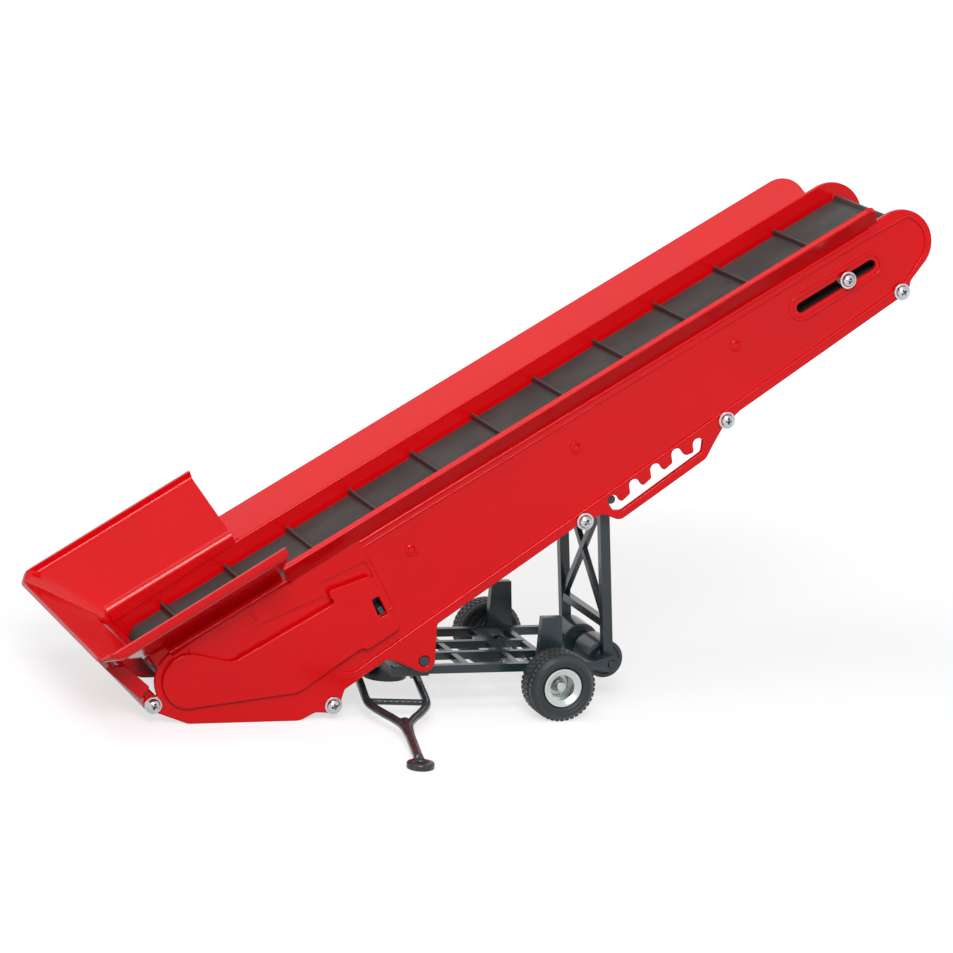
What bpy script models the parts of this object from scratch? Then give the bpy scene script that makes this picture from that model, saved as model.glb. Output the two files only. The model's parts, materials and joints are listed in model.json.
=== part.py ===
"""Toy farm belt elevator: a red boom with a cleated belt on a dark two-wheeled chassis.

Millimetres are used throughout and turned into metres where meshes are made.
Machine axes: X runs from the hopper (-X) to the discharge end (+X), Y runs across
the machine and Z is up.  X = 0 is on the hopper's side of the axle, just under its
posts, Y = 0 the middle of the boom and Z = 0 the ground.  At the end everything moves
so that the origin is the middle of the outline on the ground.
"""

from math import atan2, cos, degrees, hypot, pi, radians, sin, tan

import bmesh
import bpy
from mathutils import Matrix, Vector

MM = 0.001
GAP = 0.3  # clearance between pieces that rest on each other

# Boom: the line through the two belt rollers.
TAIL = (-109.4, 13.1)  # tail roller axis, X and Z
SLOPE = radians(31.2)
SPAN = 250.2  # between roller axes
ALONG = (cos(SLOPE), sin(SLOPE))
UPWARD = (-sin(SLOPE), cos(SLOPE))
EDGE_SLOPE = radians(34.9)  # the plates' lower edge

# Side plates
PLATE_OUT = 27.0  # outer face, from the middle
PLATE_IN = 25.2
PLATE_END = 10.2  # radius of the plates' round ends
FOOT = (-109.0, -75.0)  # flat edge that stands on the ground, X from and to
HEEL = (-63.3, 8.1)  # start of the lower edge
BOARD_REACH = 7.2  # side boards, outwards and upwards
BOARD_REACH_HOPPER = 1.8  # the same under the hopper's wings
BOARD_THICK = 1.5
BOARD_FROM, BOARD_STEP, BOARD_TO = -1.0, 38.9, 246.0

# Hopper, as distances along the boom, from its middle and above the line of the rollers
WING_FROM, WING_TO = -6.6, 38.2
WING_LOW = (26.0, 12.8)
WING_BEND = (51.3, 25.4)
LIP_TOP = 28.3
WING_THICK = 1.2
WALL_LOW = (-6.2, 8.8)
WALL_RIM = (-21.4, 26.0)

# Hinge of the boom on the chassis, and the support ladder
HINGE = (-37.8, 17.1)
HINGE_PIN_R = 1.5
LADDER_FOOT = (23.4, 13.5)
NOTCHES = ((18.3, 64.8), (24.8, 69.6), (31.2, 74.25), (37.6, 78.75), (44.2, 81.8))
NOTCH_R = 1.75
TOOTH = ((2.5, -0.5), (-1.2, -2.6))  # a tooth's corners, from the notches on its two sides
WINDOW_TOP = (1.2, -2.3)  # the notched window's lower corners, from its last and first notch
WINDOW_FOOT = ((2.9, -2.9), (0.2, -2.9))
ROD_R = 1.35
LADDER_HALF = 18.0
LADDER_LEG = 2.8
CROSSBAR_AT = 11.6
BRACE_WIDE, BRACE_DEEP = 1.6, 2.1

# Belt
ROLLER_R = 3.6
BELT_IN = 3.9
BELT_OUT = 4.9
BELT_HALF = 23.0
CLEATS = 24
CLEAT_TALL = 1.7
CLEAT_THICK = 1.7
FIRST_CLEAT = 9.6

# Screws that tie the plates together, as X and Z
TIES = {
    "tail": (-119.9, 6.1),
    "foot": (-65.3, 4.5),
    "middle": (9.6, 58.8),
    "upper": (52.5, 89.1),
    "head": (106.2, 128.1),
}
TAB_R = 2.5
FOOT_NECK = (-70.5, 2.4)  # where the foot rises to its screw's tab
HINGE_LUG = 11.1  # from the start of the lug to the hinge
HINGE_LUG_R = 3.4
RACK_EDGE = ((14.7, 60.3), (20.5, 59.0), (23.5, 60.5), (47.1, 77.4), (48.8, 80.3))  # under the notches
SCREW_HEAD_R = 2.6
SCREW_HEAD_TALL = 1.9
SHANK_R = 1.2
TIE_BORE = 1.5
SPACER_R = 2.6

# Belt tensioner, as distances along the boom
TENSION_AT = 230.4
SLOT_FROM, SLOT_TO = 214.0, 239.0
SLOT_HALF = 1.6

# Wheels
AXLE_X, AXLE_Z = 2.8, 10.4
TYRE_R = 10.4
TYRE_IN, TYRE_OUT = 26.9, 37.3  # inner and outer side, from the middle
RIM_R = 5.9
AXLE_R = 1.4
REAR_ROLLER_R = 5.8
DRUM_FROM, DRUM_TO = 4.4, 16.2  # the rear roller's two drums, from the middle

# Chassis
RAIL_LOW, RAIL_HIGH = 12.0, 14.5
RAIL_THICK = 2.4
OUTER_RAIL, INNER_RAIL = 21.3, 6.3
FRONT_X = -46.5
CROSS_X = (-22.0, -6.0, 5.0)
POST_TOP = 28.8
POST_MID = 22.6
POST_THICK = 2.6

# Steered drawbar
DRUM = (-40.8, 0.0)
DRUM_R = 6.6
DRUM_LOW, DRUM_HIGH = 5.5, 9.6
DRAW_Z = 7.5
DRAW_LEN = 81.0
DRAW_END_Z = 1.6
DRAW_TURN = radians(10.5)  # from straight across, towards the hopper
DRAW_ARM = 8.9
DRAW_BAR_R = 1.25
EYE_R, EYE_TUBE = 2.6, 1.0
KING_R = 1.6

# Plate under the hopper's end wall, as X and Z
GUARD_TOP, GUARD_FOOT = (-133.4, 18.2), (-122.5, 9.0)
GUARD_THICK = 1.6
GUARD_FLANGE = ((-133.0, 17.6), (-122.8, 8.9), (-120.8, 11.2), (-128.8, 18.0))

# Drive, as distances along and above the boom line
COVER_R = 8.2
COVER_THICK = 1.3
COVER_LOW = ((26, -20.6), (48.6, -19.2), (49.9, -20.6), (61.6, -20.3))
COVER_HIGH = ((61.2, -1.2), (47.3, 1.7), (48.1, -2.7), (13.5, -1.8))
SWITCH_WINDOW = ((57.9, -7.9), (60.3, -8.1), (60.1, -14.2), (57.5, -14.0))
WINDOW_MIDDLE = (58.95, -11.05)
SWITCH_BODY = ((53.5, -17.0), (64.5, -17.0), (64.5, -7.6), (53.5, -7.6))
SWITCH_KNOB = ((58.2, -13.8), (59.8, -13.8), (59.8, -11.4), (58.2, -11.4))
BODY_Y = (-22.6, -18.0)  # from and to, across the machine
KNOB_Y = (-27.6, -22.9)
MOTOR_AT = (24.0, -16.0)
MOTOR_R = 7.4
SADDLE_IN, SADDLE_OUT = 7.9, 9.1  # the saddle's walls, from the motor's axis
PULLEY_R, MOTOR_PULLEY_R = 4.5, 2.2
BATTERY_AT = (83.0, -15.8)
CELL_R, CELL_LONG, CELL_PITCH = 5.25, 44.5, 11.6

FINISHES = {
    "red_plastic": ((0.62, 0.005, 0.01), 0.22, 0.0),
    "dark_plastic": ((0.035, 0.045, 0.052), 0.4, 0.0),
    "belt_rubber": ((0.07, 0.07, 0.075), 0.8, 0.0),
    "tyre_rubber": ((0.03, 0.038, 0.042), 0.75, 0.0),
    "silver_plastic": ((0.6, 0.62, 0.61), 0.35, 0.4),
    "zinc": ((0.7, 0.7, 0.7), 0.25, 1.0),
    "steel": ((0.55, 0.56, 0.58), 0.3, 1.0),
    "cell_wrap": ((0.08, 0.09, 0.1), 0.4, 0.0),
}


def boom(along, above):
    """X and Z of a point given along the boom and above the line of its rollers."""
    return (
        TAIL[0] + along * ALONG[0] + above * UPWARD[0],
        TAIL[1] + along * ALONG[1] + above * UPWARD[1],
    )


def lower_edge(x):
    """Height of the plates' lower edge."""
    return HEEL[1] + (x - HEEL[0]) * tan(EDGE_SLOPE)


def arc(centre, radius, start, end, steps=8):
    """Points on a circle, angles in degrees, anticlockwise when end is more than start."""
    turn = [radians(start + (end - start) * i / steps) for i in range(steps + 1)]
    return [(centre[0] + radius * cos(a), centre[1] + radius * sin(a)) for a in turn]


def tilt(start, end):
    """Direction from one point to another, in degrees."""
    return degrees(atan2(end[1] - start[1], end[0] - start[0]))


def between(start, end, share):
    return tuple(a + (b - a) * share for a, b in zip(start, end))


# ---------------------------------------------------------------- modelling tools


class Builder:
    """Makes objects, gives each its finish and hangs it on its joint's empty."""

    def __init__(self):
        for obj in list(bpy.data.objects):
            bpy.data.objects.remove(obj, do_unlink=True)
        self.parts = self.collection("belt_elevator")
        self.cutters = self.collection("cutters")
        self.finishes = {name: self.finish(name, *values) for name, values in FINISHES.items()}
        self.joints = {}
        self.joint("machine", (0, 0, 0))

    def collection(self, name):
        made = bpy.data.collections.new(name)
        bpy.context.scene.collection.children.link(made)
        return made

    def finish(self, name, colour, roughness, metallic):
        material = bpy.data.materials.new(name)
        material.use_nodes = True
        shader = material.node_tree.nodes["Principled BSDF"]
        shader.inputs["Base Color"].default_value = (*colour, 1)
        shader.inputs["Roughness"].default_value = roughness
        shader.inputs["Metallic"].default_value = metallic
        return material

    def joint(self, name, at, parent=None):
        """An empty on a joint's axis; at is in machine millimetres."""
        empty = bpy.data.objects.new("axis_" + name, None)
        self.parts.objects.link(empty)
        empty.empty_display_size = 0.01
        self.joints[name] = (empty, Vector(at))
        if parent:
            self.hang(empty, parent, at)
        return name

    def hang(self, obj, joint, at=(0, 0, 0)):
        """Parents an object whose own origin is at a point in machine millimetres."""
        empty, centre = self.joints[joint]
        obj.parent = empty
        obj.location = (Vector(at) - centre) * MM
        return obj

    def add(self, name, data, finish, joint, at=(0, 0, 0)):
        """An object with its origin on its joint, unless at says where it is."""
        obj = bpy.data.objects.new(name, data)
        if finish:
            self.parts.objects.link(obj)
            data.materials.append(self.finishes[finish])
        else:
            self.cutters.objects.link(obj)
            obj.hide_render = True
            obj.display_type = "WIRE"
        self.hang(obj, joint, at)
        return obj

    def mesh(self, name, bm, finish, joint, smooth=True):
        """An object from a bmesh in machine millimetres, with its origin on its joint's axis."""
        centre = self.joints[joint][1]
        bmesh.ops.translate(bm, verts=bm.verts, vec=-centre)
        bmesh.ops.scale(bm, verts=bm.verts, vec=(MM, MM, MM))
        data = bpy.data.meshes.new(name)
        bm.to_mesh(data)
        bm.free()
        if smooth:
            data.shade_smooth()
            data.set_sharp_from_angle(angle=radians(35))
        return self.add(name, data, finish, joint, centre)

    def box(self, name, low, high, finish, joint):
        bm = bmesh.new()
        bmesh.ops.create_cube(bm, size=1)
        bmesh.ops.scale(bm, verts=bm.verts, vec=[b - a for a, b in zip(low, high)])
        bmesh.ops.translate(bm, verts=bm.verts, vec=[(a + b) / 2 for a, b in zip(low, high)])
        return self.mesh(name, bm, finish, joint, smooth=False)

    def rod(self, name, start, end, radius, finish, joint, sides=16, end_radius=None):
        """A round bar, or a cone, between two points."""
        start, end = Vector(start), Vector(end)
        bm = bmesh.new()
        bmesh.ops.create_cone(
            bm,
            cap_ends=True,
            segments=sides,
            radius1=radius,
            radius2=radius if end_radius is None else end_radius,
            depth=(end - start).length,
        )
        turn = (end - start).to_track_quat("Z", "Y").to_matrix().to_4x4()
        bmesh.ops.transform(bm, verts=bm.verts, matrix=Matrix.Translation((start + end) / 2) @ turn)
        return self.mesh(name, bm, finish, joint)

    def bar(self, name, start, end, width, depth, finish, joint, side=(0, 1, 0)):
        """A square bar between two points; width is measured along side."""
        start, end = Vector(start), Vector(end)
        run = end - start
        across = (Vector(side) - run * (run.dot(Vector(side)) / run.length_squared)).normalized()
        third = run.normalized().cross(across)
        bm = bmesh.new()
        bmesh.ops.create_cube(bm, size=1)
        axes = Matrix((across * width, third * depth, run)).transposed().to_4x4()
        bmesh.ops.transform(bm, verts=bm.verts, matrix=Matrix.Translation((start + end) / 2) @ axes)
        bmesh.ops.recalc_face_normals(bm, faces=bm.faces)
        return self.mesh(name, bm, finish, joint, smooth=False)

    def flat(self, name, loops, low, high, finish, joint):
        """A flat outline in X and Z, with holes after the first loop, thick in Y from low to high."""
        return self.sheet(name, loops, (0, (low + high) / 2, 0), "X", high - low, finish, joint)

    def sheet(self, name, loops, at, turned, thick, finish, joint):
        """A filled 2D curve stood up about X, or laid flat, made a mesh with its caps welded."""
        curve = bpy.data.curves.new(name, "CURVE")
        curve.dimensions = "2D"
        curve.fill_mode = "BOTH"
        curve.extrude = thick / 2 * MM
        for loop in loops:
            spline = curve.splines.new("POLY")
            spline.points.add(len(loop) - 1)
            spline.use_cyclic_u = True
            for point, (x, y) in zip(spline.points, loop):
                point.co = (x * MM, y * MM, 0, 1)
        guide = bpy.data.objects.new(name + "_outline", curve)
        self.cutters.objects.link(guide)
        if turned == "X":
            guide.rotation_euler = (pi / 2, 0, 0)
        guide.location = Vector(at) * MM
        bpy.context.view_layer.update()
        data = bpy.data.meshes.new_from_object(guide.evaluated_get(bpy.context.evaluated_depsgraph_get()))
        data.name = name
        bm = bmesh.new()
        bm.from_mesh(data)
        bmesh.ops.remove_doubles(bm, verts=bm.verts, dist=1e-6)
        bmesh.ops.transform(bm, verts=bm.verts, matrix=guide.matrix_world)
        bmesh.ops.scale(bm, verts=bm.verts, vec=(1 / MM, 1 / MM, 1 / MM))
        bmesh.ops.recalc_face_normals(bm, faces=bm.faces)
        bpy.data.objects.remove(guide, do_unlink=True)
        return self.mesh(name, bm, finish, joint)

    def turned(self, name, profile, at, finish, joint, steps=32, side=1):
        """A profile of radius and distance outwards, turned about a line along Y through at."""
        points = [Vector((radius * MM, 0, -out * MM)) for radius, out in profile]
        data = bpy.data.meshes.new(name)
        loop = profile[0][0] > 0
        edges = [(i, i + 1) for i in range(len(points) - 1)] + ([(len(points) - 1, 0)] if loop else [])
        data.from_pydata(points, edges, [])
        obj = self.add(name, data, finish, joint, (at[0], at[1], at[2]))
        obj.rotation_euler = (side * pi / 2, 0, 0)
        screw = obj.modifiers.new("turn", "SCREW")
        screw.steps = screw.render_steps = steps
        screw.use_merge_vertices = True
        screw.merge_threshold = 0.00001
        screw.use_smooth_shade = True
        return obj

    def combine(self, obj, others, operation):
        """Joins helpers to a piece, or cuts them from it."""
        for other in others:
            step = obj.modifiers.new(other.name, "BOOLEAN")
            step.operation = operation
            step.object = other
            step.solver = "EXACT"
        return obj

    def centre_on_ground(self):
        """Moves the machine so that the middle of its outline is over the origin."""
        bpy.context.view_layer.update()
        graph = bpy.context.evaluated_depsgraph_get()
        low, high = Vector((1e9, 1e9, 1e9)), Vector((-1e9, -1e9, -1e9))
        for obj in self.parts.objects:
            if obj.type != "MESH":
                continue
            seen = obj.evaluated_get(graph)
            mesh = seen.to_mesh()
            for vertex in mesh.vertices:
                place = seen.matrix_world @ vertex.co
                low = Vector(map(min, low, place))
                high = Vector(map(max, high, place))
            seen.to_mesh_clear()
        middle = (low + high) / 2
        self.joints["machine"][0].location = (-middle.x, -middle.y, -low.z)


# ---------------------------------------------------------------- boom


def plate_outline():
    """The side plate from the head round the top, the tail, the foot, the lug and the rack."""
    head, tail_tie, foot_tie = boom(SPAN, 0), TIES["tail"], TIES["foot"]
    slope = degrees(SLOPE)
    edge = degrees(EDGE_SLOPE)
    points = arc(head, PLATE_END, slope - 62, slope + 90, 12)
    points += arc(TAIL, PLATE_END, slope + 90, 205, 8)
    points += arc(tail_tie, TAB_R, 165, 290, 7)
    points += [(FOOT[0], 0), (FOOT[1], 0)]
    points += [FOOT_NECK]
    points += arc(foot_tie, TAB_R, 240, 375, 7)
    points += [HEEL]
    points += [(HINGE[0] - HINGE_LUG, lower_edge(HINGE[0] - HINGE_LUG))]
    points += arc(HINGE, HINGE_LUG_R, 245, 360, 7)
    points += [(HINGE[0] + HINGE_LUG_R, lower_edge(HINGE[0] + HINGE_LUG_R))]
    points += arc(TIES["middle"], TAB_R, edge + 180, edge + 330, 7)
    points += RACK_EDGE
    points += arc(TIES["upper"], TAB_R, edge + 215, edge + 360, 7)
    points += arc(TIES["head"], TAB_R, edge + 200, edge + 345, 7)
    return points


def shifted(point, step):
    return (point[0] + step[0], point[1] + step[1])


def rack_slot():
    """The notched window that the ladder's top rod drops into."""
    loop = []
    for here, after in zip(NOTCHES, NOTCHES[1:] + (None,)):
        loop += arc(here, NOTCH_R, 195, 40, 7)
        if after:
            loop += [shifted(here, TOOTH[0]), shifted(after, TOOTH[1])]
    loop.append(shifted(NOTCHES[-1], WINDOW_TOP))
    loop += [shifted(NOTCHES[0], step) for step in WINDOW_FOOT]
    return loop


def stadium(start, end, radius):
    """A slot's outline between the centres of its two round ends."""
    turn = tilt(start, end)
    return arc(start, radius, turn + 90, turn + 270) + arc(end, radius, turn - 90, turn + 90)


def window(grow=0.0):
    """The switch window in the drive cover, and in the plate behind it."""
    middle = WINDOW_MIDDLE
    return [
        boom(a + (grow if a > middle[0] else -grow), b + (grow if b > middle[1] else -grow))
        for a, b in SWITCH_WINDOW
    ]


def board_section(reach, side):
    """The flared side board's section as Y and height above the boom line."""
    inner, outer, root = PLATE_IN + 0.2, PLATE_OUT - 0.2, PLATE_END - 1.6
    foot = PLATE_END - 0.2
    lean = BOARD_THICK * 2**0.5 / 2
    return [
        (side * outer, root),
        (side * inner, root),
        (side * inner, foot),
        (side * (inner + reach), foot + reach),
        (side * (inner + reach + lean), foot + reach - lean),
        (side * outer, foot + outer - inner - 2 * lean),
    ]


def board(build, name, start, end, reach, side, end_trim=0.0):
    """A side board from one point along the boom to another, with its head end's corner cut."""
    bm = bmesh.new()
    section = board_section(reach, side)
    rings = []
    for along in (start, end):
        ring = []
        for index, (y, above) in enumerate(section):
            back = end_trim if along == end and index in (3, 4) else 0.0
            x, z = boom(along - back, above)
            ring.append(bm.verts.new((x, y, z)))
        rings.append(ring)
    count = len(section)
    for i in range(count):
        j = (i + 1) % count
        bm.faces.new((rings[0][i], rings[0][j], rings[1][j], rings[1][i]))
    bm.faces.new(rings[0])
    bm.faces.new(rings[1][::-1])
    bmesh.ops.recalc_face_normals(bm, faces=bm.faces)
    return build.mesh(name, bm, None, "boom", smooth=False)


def side_plates(build):
    slot = stadium(boom(SLOT_FROM, -1), boom(SLOT_TO, -1), SLOT_HALF)
    holes = [slot, arc(HINGE, 1.6, 0, 345, 15), rack_slot()]
    tie_holes = [arc(at, TIE_BORE, 0, 330, 11) for at in TIES.values()]
    near = [plate_outline(), *holes, *tie_holes, window(0.3)]
    near += [arc(boom(*MOTOR_AT), 1.2, 0, 330, 11)]
    far = [plate_outline(), *holes]
    for word, side, loops in (("near", -1, near), ("far", 1, far)):
        low, high = sorted((side * PLATE_IN, side * PLATE_OUT))
        plate = build.flat("side_plate_" + word, loops, low, high, "red_plastic", "boom")
        boards = [
            board(build, word + "_board_cutter", BOARD_STEP, BOARD_TO, BOARD_REACH, side, 4.0),
            board(build, word + "_sill_cutter", BOARD_FROM, BOARD_STEP + 1, BOARD_REACH_HOPPER, side),
        ]
        build.combine(plate, boards, "UNION")


def belt(build):
    """Endless belt: its outline runs round both rollers with a bump for each cleat."""
    lap = 2 * SPAN + 2 * pi * BELT_OUT
    pitch = lap / CLEATS

    def on_loop(travel, lift):
        """A point at a distance round the outside of the belt, and so far above it."""
        travel %= lap
        half = pi * BELT_OUT
        if travel < SPAN:
            return boom(travel, BELT_OUT + lift)
        if travel < SPAN + half:
            turn = pi / 2 - (travel - SPAN) / BELT_OUT
            return boom(SPAN + (BELT_OUT + lift) * cos(turn), (BELT_OUT + lift) * sin(turn))
        if travel < 2 * SPAN + half:
            return boom(2 * SPAN + half - travel, -BELT_OUT - lift)
        turn = -pi / 2 - (travel - 2 * SPAN - half) / BELT_OUT
        return boom((BELT_OUT + lift) * cos(turn), (BELT_OUT + lift) * sin(turn))

    marks = [(FIRST_CLEAT + pitch * i) % lap for i in range(CLEATS)]
    bends = [SPAN + pi * BELT_OUT * i / 8 for i in range(9)]
    bends += [2 * SPAN + pi * BELT_OUT * (1 + i / 8) - 0.001 for i in range(9)]

    def apart(bend, mark):
        return abs((bend - mark + lap / 2) % lap - lap / 2)

    clear = [b for b in bends if all(apart(b, m) > CLEAT_THICK * 0.7 for m in marks)]
    stops = [(m, True) for m in marks] + [(b, False) for b in clear]
    outer = []
    for travel, cleat in sorted(stops):
        half = CLEAT_THICK / 2
        if cleat:
            outer += [on_loop(travel - half, 0), on_loop(travel - half * 0.8, CLEAT_TALL)]
            outer += [on_loop(travel + half * 0.8, CLEAT_TALL), on_loop(travel + half, 0)]
        else:
            outer.append(on_loop(travel, 0))
    slope = degrees(SLOPE)
    inner = arc(boom(SPAN, 0), BELT_IN, slope - 90, slope + 90, 10)
    inner += arc(TAIL, BELT_IN, slope + 90, slope + 270, 10)
    build.flat("belt", [outer, inner], -BELT_HALF, BELT_HALF, "belt_rubber", "boom")


def deck(build):
    """The bed that the belt's upper run slides on."""
    corners = [boom(14, 1.0), boom(208, 1.0), boom(208, 3.5), boom(14, 3.5)]
    build.flat("belt_deck", [corners], -PLATE_IN + GAP, PLATE_IN - GAP, "red_plastic", "boom")


def rollers(build):
    end = PLATE_IN - GAP
    for name, joint, along in (("tail_roller", "tail_roller", 0), ("head_roller", "head_roller", SPAN)):
        x, z = boom(along, 0)
        profile = [(0, -BELT_HALF), (ROLLER_R, -BELT_HALF), (ROLLER_R, BELT_HALF)]
        profile += [(1.3, BELT_HALF), (1.3, end), (0, end)]
        build.turned(name, profile, (x, 0, z), "dark_plastic", joint, 24, 1)
    x, z = boom(0, 0)
    start = -BELT_HALF - GAP
    build.rod("roller_pulley", (x, start, z), (x, -end, z), PULLEY_R, "dark_plastic", "tail_roller", 24)


def screws_and_spacers(build):
    for word, (x, z) in TIES.items():
        screw(build, "screw_" + word, (x, z), -1, "boom")
        end = PLATE_IN - GAP
        spacer = build.rod("spacer_" + word, (x, -end, z), (x, end, z), SPACER_R, "red_plastic", "boom", 12)
        start, end = (x, -PLATE_OUT, z), (x, PLATE_OUT, z)
        bore = build.rod(word + "_bore_cutter", start, end, TIE_BORE, None, "boom", 12)
        build.combine(spacer, [bore], "DIFFERENCE")


def screw(build, name, at, side, joint, shank_to=20.0):
    """A pan-head screw whose head stands on a plate's outer face; side is -1 for near."""
    face = PLATE_OUT + GAP
    profile = [(0, shank_to), (SHANK_R, shank_to), (SHANK_R, face), (SCREW_HEAD_R, face)]
    profile += [(SCREW_HEAD_R, face + 0.7), (SCREW_HEAD_R * 0.8, face + 1.5)]
    profile += [(SCREW_HEAD_R * 0.4, face + SCREW_HEAD_TALL), (0, face + SCREW_HEAD_TALL)]
    build.turned(name, profile, (at[0], 0, at[1]), "zinc", joint, 16, side)


def tensioner(build):
    """A bar across the boom, inside the belt, held by a screw in each plate's slot."""
    x, z = boom(TENSION_AT, -1)
    length = BELT_HALF + 1.2
    build.rod("tension_bar", (x, -length, z), (x, length, z), 2.1, "steel", "tensioner", 16)
    for word, side in (("near", -1), ("far", 1)):
        screw(build, "tension_screw_" + word, (x, z), side, "tensioner", length + GAP)


def drive_cover(build):
    """Raised cover over the drive on the near plate, with the switch window."""
    corners = arc(TAIL, COVER_R, 80, 265, 12)
    corners += [boom(*place) for place in COVER_LOW + COVER_HIGH]
    high = -PLATE_OUT - GAP
    build.flat("drive_cover", [corners, window()], high - COVER_THICK, high, "red_plastic", "boom")


def panel(build, name, corners, thick, inward):
    """A flat panel through corner points, thickened away from a point that lies inside the hopper."""
    bm = bmesh.new()
    points = [Vector(c) for c in corners]
    normal = (points[1] - points[0]).cross(points[2] - points[0]).normalized()
    if normal.dot(Vector(inward) - points[0]) > 0:
        normal = -normal
    lower = [bm.verts.new(p) for p in points]
    upper = [bm.verts.new(p + normal * thick) for p in points]
    bm.faces.new(lower)
    bm.faces.new(upper)
    for i in range(len(points)):
        j = (i + 1) % len(points)
        bm.faces.new((lower[i], lower[j], upper[j], upper[i]))
    bmesh.ops.recalc_face_normals(bm, faces=bm.faces)
    return build.mesh(name, bm, None, "boom", smooth=False)


def hopper(build):
    """Two flared wings with folded lips, and a sloping end wall across the tail."""

    def at(along, side, above):
        x, z = boom(along, above)
        return (x, side, z)

    inside = at(10, 0, 20)
    start = build.mesh("hopper", hopper_end(at), "red_plastic", "boom", smooth=False)
    others = []
    for word, side in (("near", -1), ("far", 1)):
        low_y, low = side * WING_LOW[0], WING_LOW[1]
        out_y, bend = side * WING_BEND[0], WING_BEND[1]
        wing = [
            at(WING_FROM, low_y, low),
            at(WING_TO, low_y, low),
            at(WING_TO + 1.2, out_y, bend),
            at(WING_FROM - 9.8, out_y, bend - 0.4),
        ]
        others.append(panel(build, word + "_wing_cutter", wing, WING_THICK, inside))
        lip = [
            at(WING_FROM - 9.6, out_y, bend - 0.6),
            at(WING_TO + 1.1, out_y, bend - 0.2),
            at(WING_TO + 1.6, out_y, LIP_TOP),
            at(WING_FROM - 12.0, out_y, LIP_TOP - 0.5),
        ]
        others.append(panel(build, word + "_lip_cutter", lip, WING_THICK + 0.1, inside))
        corner = [
            at(WALL_LOW[0] + 0.2, side * 20.5, WALL_LOW[1] - 0.2),
            at(WING_FROM + 0.8, low_y + side * 0.4, low - 0.2),
            at(WING_FROM - 12.2, out_y + side * 0.2, bend + 1.2),
            at(WALL_RIM[0] + 0.3, side * 46.0, WALL_RIM[1] - 0.4),
        ]
        others.append(corner_panel(build, word + "_corner_cutter", corner, inside))
    return build.combine(start, others, "UNION")


def hopper_end(at):
    """The end wall as a loft between its inner face and its outer face."""
    wall, rim = WALL_LOW, WALL_RIM
    bm = bmesh.new()
    rings = []
    for shift in (0.0, -1.5):
        ring = [
            at(wall[0] + shift, -21.5, wall[1] + shift),
            at(wall[0] + shift, 21.5, wall[1] + shift),
            at(rim[0] + shift, 47.5, rim[1] + shift),
            at(rim[0] + shift, -47.5, rim[1] + shift),
        ]
        rings.append([bm.verts.new(point) for point in ring])
    for ring in rings:
        bm.faces.new(ring)
    for i in range(4):
        j = (i + 1) % 4
        bm.faces.new((rings[0][i], rings[0][j], rings[1][j], rings[1][i]))
    bmesh.ops.recalc_face_normals(bm, faces=bm.faces)
    return bm


def corner_panel(build, name, corners, inward):
    """The strip that closes the corner between a wing and the end wall, as two flat triangles."""
    bm = bmesh.new()
    points = [Vector(c) for c in corners]
    middle = sum(points, Vector()) / 4
    away = (points[2] - points[0]).cross(points[3] - points[1]).normalized()
    if away.dot(Vector(inward) - middle) > 0:
        away = -away
    bottom = [bm.verts.new(p) for p in points]
    upper = [bm.verts.new(p + away * 1.7) for p in points]
    bm.faces.new((bottom[0], bottom[1], bottom[2]))
    bm.faces.new((bottom[0], bottom[2], bottom[3]))
    bm.faces.new((upper[0], upper[1], upper[2]))
    bm.faces.new((upper[0], upper[2], upper[3]))
    for i in range(4):
        j = (i + 1) % 4
        bm.faces.new((bottom[i], bottom[j], upper[j], upper[i]))
    bmesh.ops.recalc_face_normals(bm, faces=bm.faces)
    return build.mesh(name, bm, None, "boom", smooth=False)


def tail_guard(build):
    """The plate under the hopper's end wall, with a flange at each end."""
    run = (Vector(GUARD_FOOT) - Vector(GUARD_TOP)).normalized()
    off = Vector((run.y, -run.x)) * GUARD_THICK
    loop = [GUARD_TOP, GUARD_FOOT, shifted(GUARD_FOOT, off), shifted(GUARD_TOP, off)]
    guard = build.flat("tail_guard", [loop], -PLATE_OUT, PLATE_OUT, "red_plastic", "boom")
    flanges = []
    for side in (-1, 1):
        low, high = sorted((side * (PLATE_IN + 0.1), side * (PLATE_OUT - 0.1)))
        flanges.append(build.flat(f"flange{side}_cutter", [GUARD_FLANGE], low, high, None, "boom"))
    build.combine(guard, flanges, "UNION")


def drive(build):
    """Motor, band drive to the tail roller, switch and batteries, all inside the plates."""
    x, z = boom(*MOTOR_AT)
    end = PLATE_IN - GAP
    build.rod("motor", (x, -BELT_HALF + 0.6, z), (x, 3.0, z), MOTOR_R, "steel", "boom", 20)
    start = -BELT_HALF - GAP
    build.rod("motor_pulley", (x, start, z), (x, -end, z), MOTOR_PULLEY_R, "dark_plastic", "motor_shaft", 16)
    low, floor, top, front, back = 1.6, 3.2, 10, x - 12, x + 9
    saddle = [(front, low), (back, low), (back, top), (x + SADDLE_IN, top), (x + SADDLE_IN, floor)]
    saddle += [(x - SADDLE_IN, floor), (x - SADDLE_IN, top), (x - SADDLE_OUT, top)]
    saddle += [(x - SADDLE_OUT, floor), (front, floor)]
    build.flat("motor_saddle", [saddle], -end + 2, end, "dark_plastic", "boom")
    band_low, band_high = -BELT_HALF - 1.5, -BELT_HALF - 0.7
    loops = [band_loop(GAP + 0.9), band_loop(GAP)]
    build.flat("drive_band", loops, band_low, band_high, "belt_rubber", "boom")
    battery_box(build)
    switch(build)


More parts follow.
